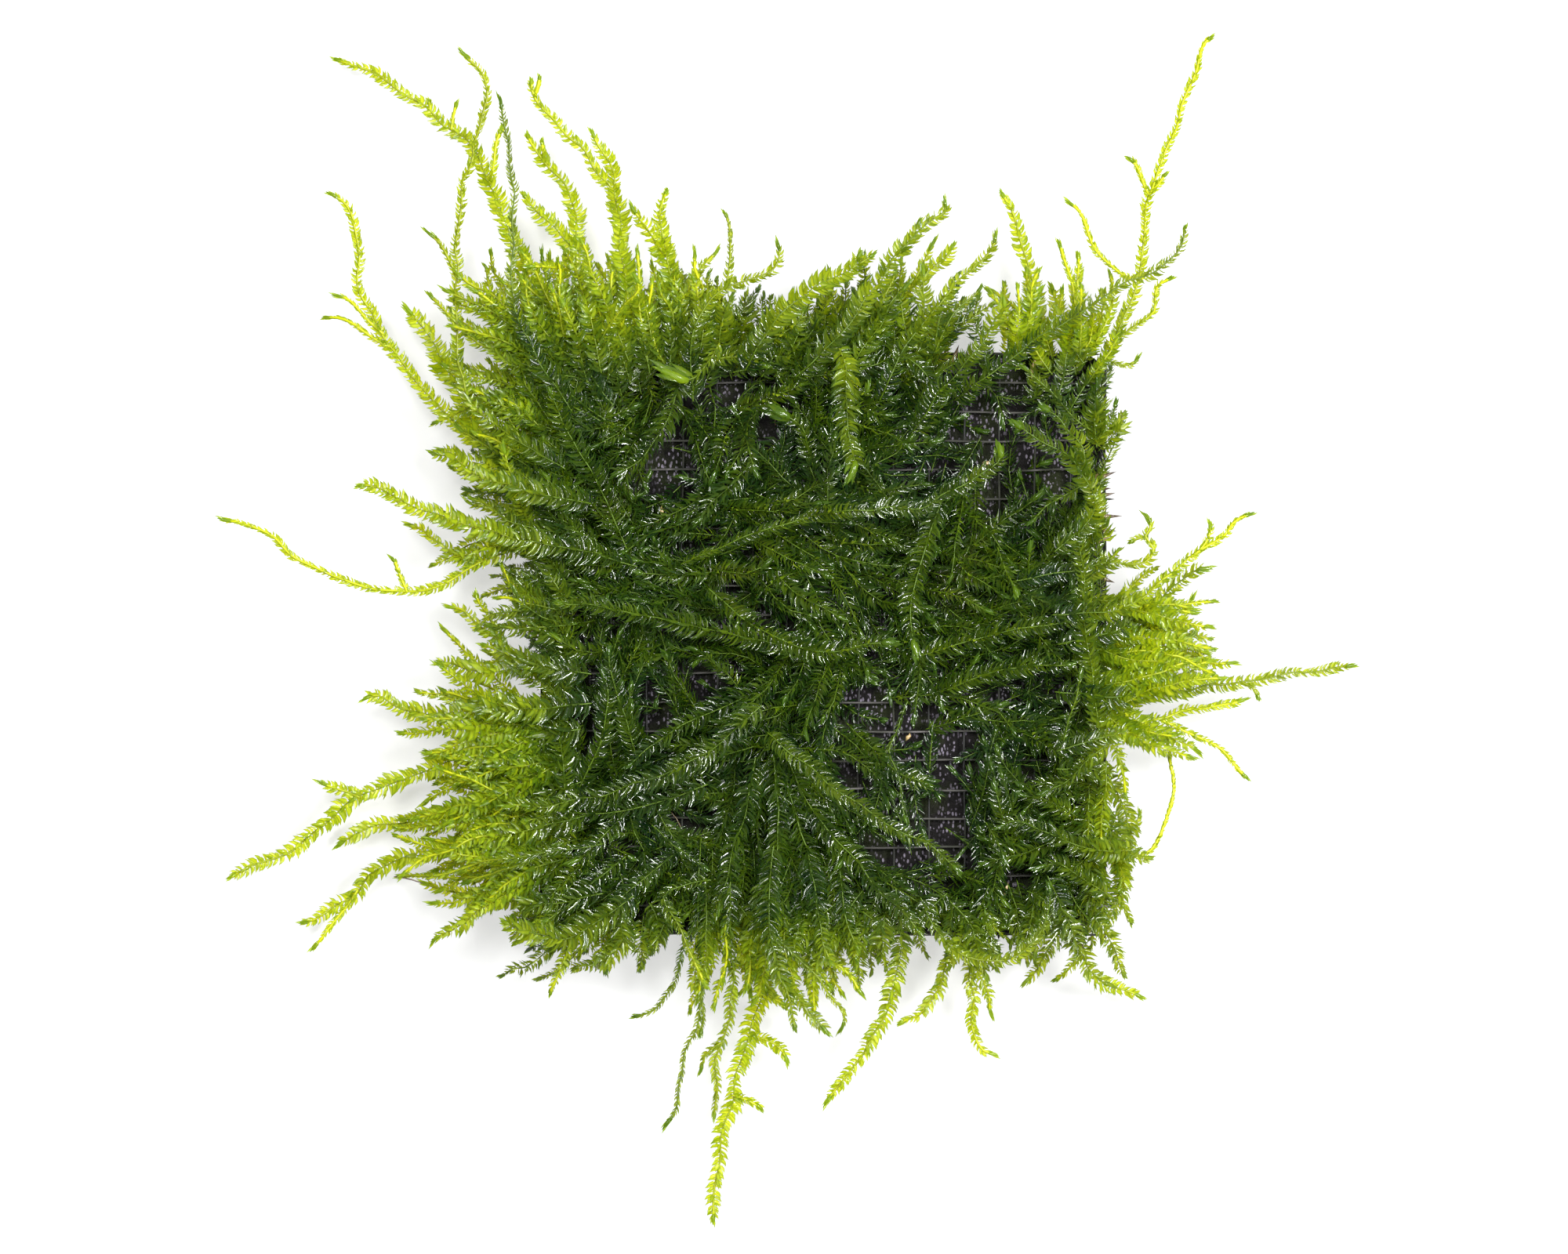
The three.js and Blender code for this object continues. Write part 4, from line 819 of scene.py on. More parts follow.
        ((2.6, 2.8, 1.3), [(-25.2, -1.8), (-29.4, -2.4), (-32.2, -2.1), (-34.5, -1.4)]),
    ],
    "tall_northwest": [
        ((2.2, 1.3, 0.7), [(-22.8, 15.5), (-27.6, 18.4), (-31.3, 21.6), (-32.3, 25.8), (-32.5, 29.5),
         (-32.5, 32.8), (-32.3, 37.3), (-31.7, 41.3), (-30.6, 45.1), (-29.8, 49.2), (-29.9, 50.2),
         (-30.9, 51.4), (-32.5, 52.8)]),
        ((1.1, 0.9, 0.6), [(-32.5, 32.6), (-33.4, 34.7), (-35.5, 37.2)]),
        ((1, 0.9, 0.6), [(-32.4, 27.6), (-33.2, 29.3), (-35.1, 31.3)]),
    ],
    "spire_north": [
        ((2.8, 2.4, 0.6), [(-15.4, 24.5), (-17.2, 30.7), (-17.9, 34.9), (-18.1, 38.3), (-18.6, 41.5),
         (-19.6, 44), (-20.8, 45.7)]),
    ],
    "short_north": [
        ((3, 2.4, 0.8), [(-11.4, 24.2), (-13.1, 31.4), (-14, 34.9), (-14.4, 38), (-13.8, 40.8)]),
        ((2.4, 2, 0.9), [(-13.8, 34.2), (-15.8, 36.9), (-17.2, 39.4)]),
    ],
    "leaning_north": [
        ((3, 2.4, 0.8), [(1.6, 23), (5.6, 29.3), (7.6, 31.4), (9.5, 33.1), (10.9, 34.2), (11.7, 35.9)]),
        ((1.4, 1.2, 0.8), [(7.8, 31.6), (9.2, 34.4), (10.1, 36.6)]),
    ],
    "narrow_south": [
        ((2, 1.5, 0.6), [(-8.2, -21), (-8.2, -25.6), (-8, -29.7), (-8.3, -33.1), (-9.2, -35.8),
         (-9.6, -37.9), (-9.4, -40.7), (-9.9, -42.4)]),
        ((1.1, 0.9, 0.6), [(-8.9, -35.2), (-10.3, -36.4), (-11.3, -38.3)]),
    ],
    "slanting_south": [
        ((2.6, 2.1, 0.7), [(6.4, -21.6), (6.9, -25.6), (6.5, -29), (5.6, -32.5), (4.2, -35.1), (3, -37.2),
         (1.2, -39.3), (-0.2, -41.4)]),
    ],
    "thin_southwest": [
        ((1.4, 1, 0.7), [(-19.5, -17.6), (-24.5, -18.4), (-27.8, -18.8), (-31.7, -19.7), (-34.7, -20.5),
         (-38, -20.6)]),
        ((0.9, 0.8, 0.7), [(-25.4, -18.6), (-27.7, -19.9), (-30.6, -20.5), (-32.2, -21.6)]),
    ],
    "whip_south": [
        ((1.6, 1, 0.7), [(-10.8, -17.2), (-11.1, -22.8), (-10.9, -27.6), (-10.8, -31.5), (-11.3, -34),
         (-12.2, -36.3), (-12.8, -38.8), (-13.1, -41.5), (-14.3, -43)]),
        ((0.8, 0.7, 0.7), [(-10.8, -31.3), (-10.5, -33.4), (-11, -35.3)]),
        ((1.2, 1, 0.7), [(-11, -23.5), (-12.2, -26.6), (-12.9, -29), (-14, -31.3), (-14.7, -32.4),
         (-17.4, -32.8)]),
    ],
    "bunched_south": [
        ((2.6, 2.2, 1.2), [(-4.4, -17.8), (-4.8, -22), (-4.6, -25.9), (-4, -28.6), (-2.8, -30.8),
         (-0.8, -32.8), (0.6, -35.1)]),
        ((1.6, 1.4, 0.9), [(-3.6, -29.4), (-2.9, -31.9), (-2.3, -34.3)]),
        ((1.2, 0.9, 0.7), [(-4.6, -25.4), (-1.9, -28), (0.4, -30.6), (1.8, -32.8), (1.1, -34.4)]),
    ],
    "high_west": [
        ((3, 2.6, 1.2), [(-20.5, 12.4), (-25.7, 13.4), (-28.5, 14.2), (-31.3, 15.4), (-33.3, 16.7),
         (-35.2, 17.1)]),
    ],
    "comb_west": [
        ((3, 2.6, 1), [(-19.6, 8), (-26.4, 9.2), (-30.6, 10.3), (-33.6, 11.3), (-35.6, 11.9),
         (-38.6, 13.5), (-41.6, 14.1)]),
    ],
    "dark_northwest": [
        ((2.4, 1.2, 0.6), [(-22.2, 20.6), (-25.4, 25.6), (-27.2, 29.6), (-27.5, 33.6), (-27.3, 38.4),
         (-27.6, 41.7), (-28.1, 46.1), (-29, 49)]),
    ],
    "crooked_north": [
        ((2.4, 1.7, 0.8), [(-11.5, 21.5), (-11.6, 27), (-10.4, 29.9), (-8.4, 31.4), (-6.5, 32.4),
         (-4.4, 33.1), (-3.8, 34.3), (-4.2, 36.1)]),
        ((1.1, 1, 0.5), [(-8.6, 31.3), (-8.2, 34.6), (-8.3, 36.9), (-8.9, 38.8)]),
    ],
    "hand_north": [
        ((3, 3, 1.4), [(-6.9, 24.2), (-4.2, 28.6), (-1.4, 31), (0.8, 32.4), (2.8, 33.3), (3.6, 35)]),
        ((1.6, 1.4, 1), [(2.4, 33.1), (4.7, 34.5)]),
    ],
    "swept_north": [
        ((3.2, 2.3, 0.7), [(-2.4, 23.6), (1.4, 27.2), (4, 30.7), (5.9, 33.5), (7.5, 35.6), (9.5, 37.3),
         (10.9, 38.5), (10.5, 39.9)]),
        ((1.6, 1.4, 0.8), [(6.6, 34.4), (8, 36.3), (8.9, 37.8)]),
    ],
    "feather_north": [
        ((2.3, 1.9, 0.6), [(5, 21.6), (7.6, 26.9), (9.4, 29), (11.5, 31.5), (13.1, 33.3), (15.1, 35.1),
         (15.1, 36.8)]),
    ],
    "crossing_northeast": [
        ((2.6, 1.9, 0.6), [(11.6, 21.6), (14.6, 23.8), (17.4, 25.8), (18.9, 27.1), (20.8, 28.1),
         (22.8, 29.3), (25.4, 31.1), (27.8, 32.5), (30.2, 33.3), (31.5, 35.3), (32, 37.1)]),
        ((2.2, 2.2, 0.9), [(14.6, 23.8), (14.1, 26.4), (13.4, 29.2), (13.9, 31.6)]),
    ],
    "forked_east": [
        ((2.6, 1.5, 0.7), [(20.2, 2.6), (24, 2.8), (26.4, 3.2), (28.8, 4.6), (30.4, 6), (32, 7.4),
         (33.6, 8.6), (34.4, 10.2), (34.1, 11.5)]),
        ((1, 0.9, 0.8), [(32.6, 7.8), (35.2, 9.5), (36.8, 11), (38.2, 11.9)]),
    ],
    "curled_east": [
        ((2.4, 1.3, 0.7), [(17, 5.6), (21.8, 6.5), (24.8, 7.1), (27.1, 7.1), (28.9, 7.6), (29.4, 8.5),
         (28.5, 9.4), (28.9, 10.4), (28.5, 11.3), (27.7, 11.7)]),
        ((1, 1, 0.9), [(28.6, 9.3), (27.5, 9.4), (26.8, 8.7)]),
    ],
    "arc_southeast": [
        ((1.7, 1.7, 0.7), [(8.6, -22.4), (10.2, -25.6), (12.2, -27.3), (14.6, -28), (17.4, -27.2),
         (19.2, -25.2), (20, -22.6), (19.7, -20.6)]),
    ],
    "spiked_northeast": [
        ((2.7, 2.5, 1.2), [(7.8, 18.6), (10.4, 22.4), (12.2, 24.4), (13.9, 26.5), (15.1, 28.3),
         (15.9, 29.7), (15.6, 31.1)]),
    ],
    "bright_middle": [
        ((3, 2.9, 1.4), [(1.4, 26), (2.1, 24), (1.9, 21.4), (2.4, 18.2), (2.6, 15.6), (2.1, 13.7)],
         (3, 0.34)),
    ],
    "crossing_middle": [
        ((1.1, 1.9, 2.1), [(-12.5, 7.1), (-7.6, 9.2), (-3.5, 10.6), (0.7, 11.6), (4.8, 11.9), (9, 12.3),
         (13.2, 14.7), (15.8, 16.5), (15.3, 17.9)], (2, 0.32)),
    ],
    "pale_east": [
        ((2.7, 2.4, 1.2), [(20.4, 8.2), (23.8, 11.6), (23, 15), (20.4, 17.3), (18.2, 18.5), (16.3, 20.1)],
         (1.8, 0.3)),
        ((2, 1.9, 1.2), [(23.2, 14.4), (22.6, 17.6), (20.9, 19.7), (18.9, 21.2)], (1.6, 0.28)),
    ],
    "hub_southeast": [
        ((2.4, 1.9, 1.2), [(-4.9, -7.8), (-0.7, -11.3), (3.5, -14.4), (7.6, -16.9), (10.4, -18.3),
         (12.2, -20.6)]),
    ],
    "hub_west": [
        ((2.6, 2.4, 0.9), [(-5.5, -5.4), (-10.4, -9.6), (-17.4, -12.6), (-22.9, -14), (-28.5, -14.4)]),
    ],
}
# How much lighter, or darker where below 0, a frond is than its place makes it
FRESHNESS = {
    "dark_northwest": -0.6, "crossing_northeast": -0.5, "whip_south": -0.55,
    "narrow_south": -0.3, "swept_north": -0.35, "leaning_north": -0.2,
    "bunched_south": -0.3, "club_east": -0.35, "longest_east": -0.3,
    "crooked_north": -0.3, "hand_north": -0.3, "feather_north": -0.25,
    "tall_northwest": -0.2, "spiked_northeast": -0.2, "thin_southwest": -0.25,
    "bright_middle": 0.35, "crossing_middle": 0.2, "pale_east": 0.2,
    "hub_southeast": 0.25, "hub_west": 0.1, "bud_east": 0.2,
    "far_northwest": 0.1, "branched_north": 0.1, "longest_south": 0.2,
}
# How near a route a CAD node's points set its height
NODE_REACH = 0.9


def moss_piece(sheaf, name):
    made = sheaf.piece(name, moss_materials)
    return made


def node_points(name):
    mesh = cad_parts[name].data
    points = np.empty(len(mesh.vertices) * 3)
    mesh.vertices.foreach_get("co", points)
    return points.reshape(-1, 3) / MM


def on_node(points, route):
    """A smooth line over a route in plan, at the height of a CAD node's points near it."""
    line = smooth_line(route)
    away = ((line[:, None, :2] - points[None, :, :2]) ** 2).sum(2)
    away -= away.min(1, keepdims=True)
    weight = np.exp(-away / (2 * NODE_REACH ** 2))
    height = (weight * points[:, 2]).sum(1) / weight.sum(1)
    return np.column_stack([line, height])


def frond(kind, strands):
    node = "frond_" + kind
    rng = random_for(node)
    sheaf = Sheaf()
    points = node_points(node)
    for widths, route, *blade_tip in strands:
        line = alive(on_node(points, route), rng)
        shoot(sheaf, line, widths, rng, 0.3, FRESHNESS.get(kind, 0.0), FULL_LEAF, *blade_tip)
    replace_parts(moss_piece(sheaf, "moss_" + kind), node)


for kind, strands in FRONDS.items():
    frond(kind, strands)


# Spots where the mat shows between the thickets: middle, and half width and depth
BARE_SPOTS = [
    ((14.4, 20.8), (2.4, 1)), ((16.2, 17.2), (1.1, 2.4)), ((9.4, 16.2), (3.1, 1)),
    ((15.6, 13.2), (2.4, 1)), ((-6.9, 23.1), (2.9, 1.4)), ((-5.2, 18.9), (1.1, 1.1)),
    ((-17.7, 21.7), (1.7, 1.2)), ((-14.7, 15.4), (1.5, 2.1)), ((-23.3, 24.8), (0.8, 1.4)),
    ((-18.4, 24), (1.1, 1)), ((-21, 1.4), (1, 1.7)), ((-15.3, -5.8), (1.1, 2.2)),
    ((-21.2, -7.8), (1.5, 1.9)), ((-20.5, -2.4), (0.7, 1)), ((-10.3, -3.1), (1, 1.4)),
    ((-8.1, 4.9), (1, 0.9)), ((3.8, -6), (2.9, 1.2)), ((12.2, -9), (1.5, 1.2)),
    ((-18.4, -17.9), (1.2, 2.5)), ((-11.5, -15.3), (2.4, 1.2)), ((-15.1, -24.2), (2.1, 1.5)),
    ((2.5, -12.1), (1.1, 1.1)), ((5.4, -17.8), (2, 1.4)), ((11.9, -11.3), (1.2, 1.6)),
    ((9.1, -17.2), (1.2, 1.1)), ((12.6, -18.8), (1, 1.2)), ((17.1, -21.2), (1, 1.5)),
    ((18.2, -10.4), (1.4, 1.7)), ((22.5, 22.4), (1.4, 1.1)),
]
SPOT_MARGIN = 0.35
# Which way the moss on the pad grows: a place in plan and a heading in degrees from +X
CURRENTS = [
    (-24.3, 21, 110), (-21.5, 15.4, 125), (-22.9, 12.6, 140), (-24.3, 8.5, 160), (-21.2, 24.4, 95),
    (-17.4, 18.2, 228), (-13.9, 21, 250), (-20.1, 2.9, 175), (-24.3, 1.5, 115), (-22.9, -5.4, 98),
    (-20.1, -2.6, 100), (-17.4, -5.4, 108), (-24.3, -9.6, 95), (-15.3, -1.9, 70), (-11.8, -4, 130),
    (-11.8, 2.2, 165), (-6.9, 0.8, 5), (0, 5.7, 332), (-3.5, 8.5, 350), (3.5, 8.5, 335),
    (-3.5, 12.6, 22), (0, 15.4, 95), (-1.4, 18.2, 100), (-10.4, 14, 200), (-8.3, 18.2, 250),
    (3.5, -3.3, 300), (-0.7, -5.4, 262), (-6.9, -4, 205), (10.4, 9.9, 250), (9, 15.4, 10),
    (13.9, 14, 30), (12.5, 7.1, 320), (16, 1.5, 14), (19.4, -1.9, 8), (13.9, -4, 20), (22.9, 1.5, 92),
    (22.9, -5.4, 75), (19.4, -6.8, 350), (17.4, -8.2, 340), (-4.9, -14.4, 270), (-7.6, -19.3, 258),
    (-0.7, -15.1, 300), (5.6, -22.1, 315), (2.8, -17.9, 282), (-13.2, -12.4, 195),
    (-20.1, -14.4, 188), (-13.9, -17.9, 322), (-18.8, -22.8, 225), (-24.3, -21.4, 222),
    (-25, -17.9, 200), (-3.5, -24.9, 275), (0.7, -24.9, 282), (9, -12.4, 350), (15.3, -13.8, 100),
    (20.8, -16.5, 160), (22.2, -12.4, 205), (20.1, -21.4, 228), (13.9, -21.4, 290),
    (22.9, -24.9, 285), (10.4, -24.2, 340), (-13.2, 25.8, 60), (-6.9, 25.8, 352), (-3.5, 27.9, 20),
    (5.6, 25.8, 60), (6.9, 19.6, 10), (12.5, 22.4, 45), (20.8, 25.8, 70), (19.4, 18.2, 140),
]
# Of a few random places, a frond takes the one that has the fewest points of others this near
OPEN_TRIES = 5
CROWDING = 1.3
covered = [np.zeros((1, 2))]


def share_in_bare_spots(route):
    points = smooth_line(route)
    inside = np.zeros(len(points), bool)
    for middle, half in BARE_SPOTS:
        inside |= (((points[:, :2] - middle) / (np.array(half) + SPOT_MARGIN)) ** 2).sum(1) < 1
    return inside.mean()


def current_at(place):
    """The heading of the nearest current, in radians."""
    nearest = min(CURRENTS, key=lambda current: (current[0] - place[0]) ** 2 + (current[1] - place[1]) ** 2)
    return math.radians(nearest[2])


def open_place(middle, half, rng):
    places = middle + half * rng.uniform(-1, 1, (OPEN_TRIES, 2))
    points = np.concatenate(covered)
    crowd = (np.linalg.norm(places[:, None] - points[None], axis=2) < CROWDING).sum(1)
    return places[crowd.argmin()]


def heading_way(angle):
    return np.array([math.cos(angle), math.sin(angle)])


def short_route(start, heading, length, rng, bow=0.35):
    """A bowed route in plan of four points."""
    steps = np.linspace(0, 1, 4)
    angles = heading + rng.normal(0, bow) * (steps - 0.3) * 2
    ways = np.stack([np.cos(angles), np.sin(angles)], axis=1)
    return start + np.concatenate([[[0, 0]], np.cumsum(ways[:-1] * length / 3, axis=0)])


def with_heights(route, heights):
    """A smooth line over a route, its height going evenly through the given ones."""
    line = smooth_line(route)
    share = lengths_along(line) / lengths_along(line)[-1]
    height = np.interp(share, np.linspace(0, 1, len(heights)), heights)
    return np.column_stack([line, height])


# Thickets: broad fronds in layers, from the mesh up to the dome of a CAD cushion. Here are how many
# grow on a square millimetre, how far past the cushion, their lengths, the spread of their headings,
# how much of one may lie in a bare spot, their widths, how the dome falls off and its least height at
# the edge, the lowest frond's height and the highest one's depth under the top, how high the layers
# stand in the dome, a frond's height at its root and how much it rises, how fresh the lowest layer is
# and the highest one more, and the painted shade that darkens the lowest layer and the painted light
# that the highest one has more.
THICKET_PER_AREA = 0.29
THICKET_PAST = 0.8
THICKET_LONGEST = 7, 12
THICKET_SHORTEST = 3
THICKET_TRIES = 40
THICKET_TURN = 0.36
THICKET_IN_SPOT = 0.12
THICKET_WIDTHS = 1.9, 2.9
THICKET_DOME = 0.7
THICKET_EDGE = 0.12
THICKET_LOW = 0.3
THICKET_UNDER = 0.4
THICKET_LAYERS = 0.12, 0.8
THICKET_RISE = 0.3, 0.7
THICKET_FRESH = -0.06, 0.2
THICKET_PAINTED_SHADE = -0.56, 0.78


def thicket_route(middle, half, rng):
    """A route through an open place, shorter each time that one leaves the mat or crosses a spot."""
    for length in np.linspace(rng.uniform(*THICKET_LONGEST), THICKET_SHORTEST, THICKET_TRIES):
        centre = open_place(middle, half, rng)
        heading = current_at(centre) + rng.normal(0, THICKET_TURN)
        route = short_route(centre - heading_way(heading) * length / 2, heading, length, rng)
        on_mat = (np.abs(route) / MAT_HIGH[:2]).max() < 1
        if on_mat and share_in_bare_spots(route) < THICKET_IN_SPOT:
            break
    return route


def thicket(name, node):
    """Fronds in layers along the nearest current, the lower ones painted darker as shade and the upper ones
    lighter as painted light.
    """
    rng = random_for(name)
    low, high = node_box(node)
    middle, half = (low + high)[:2] / 2, (high - low)[:2] / 2 + THICKET_PAST
    height = high[2] - low[2]
    count = round(4 * half[0] * half[1] * THICKET_PER_AREA)
    sheaf = Sheaf()
    for place in range(count):
        level = (place + rng.uniform(0, 1)) / count
        line = smooth_line(thicket_route(middle, half, rng))
        covered.append(line)
        share = np.linspace(0, 1, len(line))
        away = (((line - middle) / half) ** 2).sum(1)
        dome = np.sqrt(np.clip(1 - THICKET_DOME * away, THICKET_EDGE, 1))
        top = low[2] + THICKET_LOW + ramp(THICKET_LAYERS, level) * (height - THICKET_UNDER) * dome
        rise = ramp(THICKET_RISE, np.clip(share * 2, 0, 1))
        line = np.column_stack([line, low[2] + (top - low[2]) * rise])
        width = rng.uniform(*THICKET_WIDTHS)
        # The lower layers are painted darker as shade, the upper ones lighter as painted light.
        shoot(sheaf, alive(line, rng), (width * 0.9, width, width * 0.4), rng, roll=0.8,
              fresh=ramp(THICKET_FRESH, level), form=PLAIN_LEAF, flat=ROUNDED,
              painted_shade=ramp(THICKET_PAINTED_SHADE, level))
    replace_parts(moss_piece(sheaf, name), node)


for node in sorted(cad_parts):
    if node.startswith("cushion_"):
        thicket(node.replace("cushion", "thicket"), node)


# Undergrowth: thin dark shoots that creep over the mesh between the thickets. Here are how many grow,
# how far inside the pad's edge, their lengths, how high above the mesh, and their widths.
UNDERGROWTH = 175
CREEP_INSIDE = 2
CREEP_LENGTHS = 4, 9
CREEP_ABOVE = 0.45
CREEP_WIDTHS = 1, 2.2


def undergrowth():
    rng = random_for("undergrowth")
    sheaf = Sheaf()
    grown = 0
    reach = MAT_HIGH[:2] - CREEP_INSIDE
    while grown < UNDERGROWTH:
        start = rng.uniform(-reach, reach)
        route = short_route(start, rng.uniform(0, 2 * math.pi), rng.uniform(*CREEP_LENGTHS), rng)
        if np.abs(route / reach).max() > 1:
            continue
        low = MESH_HIGH[2] + CREEP_ABOVE + rng.uniform(0, 0.5)
        width = rng.uniform(*CREEP_WIDTHS)
        line = alive(with_heights(route, (low, low)), rng, 0.1)
        # Painted shade: these low shoots are painted darker.
        shoot(sheaf, line, (width, width, width * 0.6), rng, roll=0.8, form=PLAIN_LEAF, flat=ROUNDED,
              painted_shade=-0.3)
        grown += 1
    moss_piece(sheaf, "undergrowth")


undergrowth()


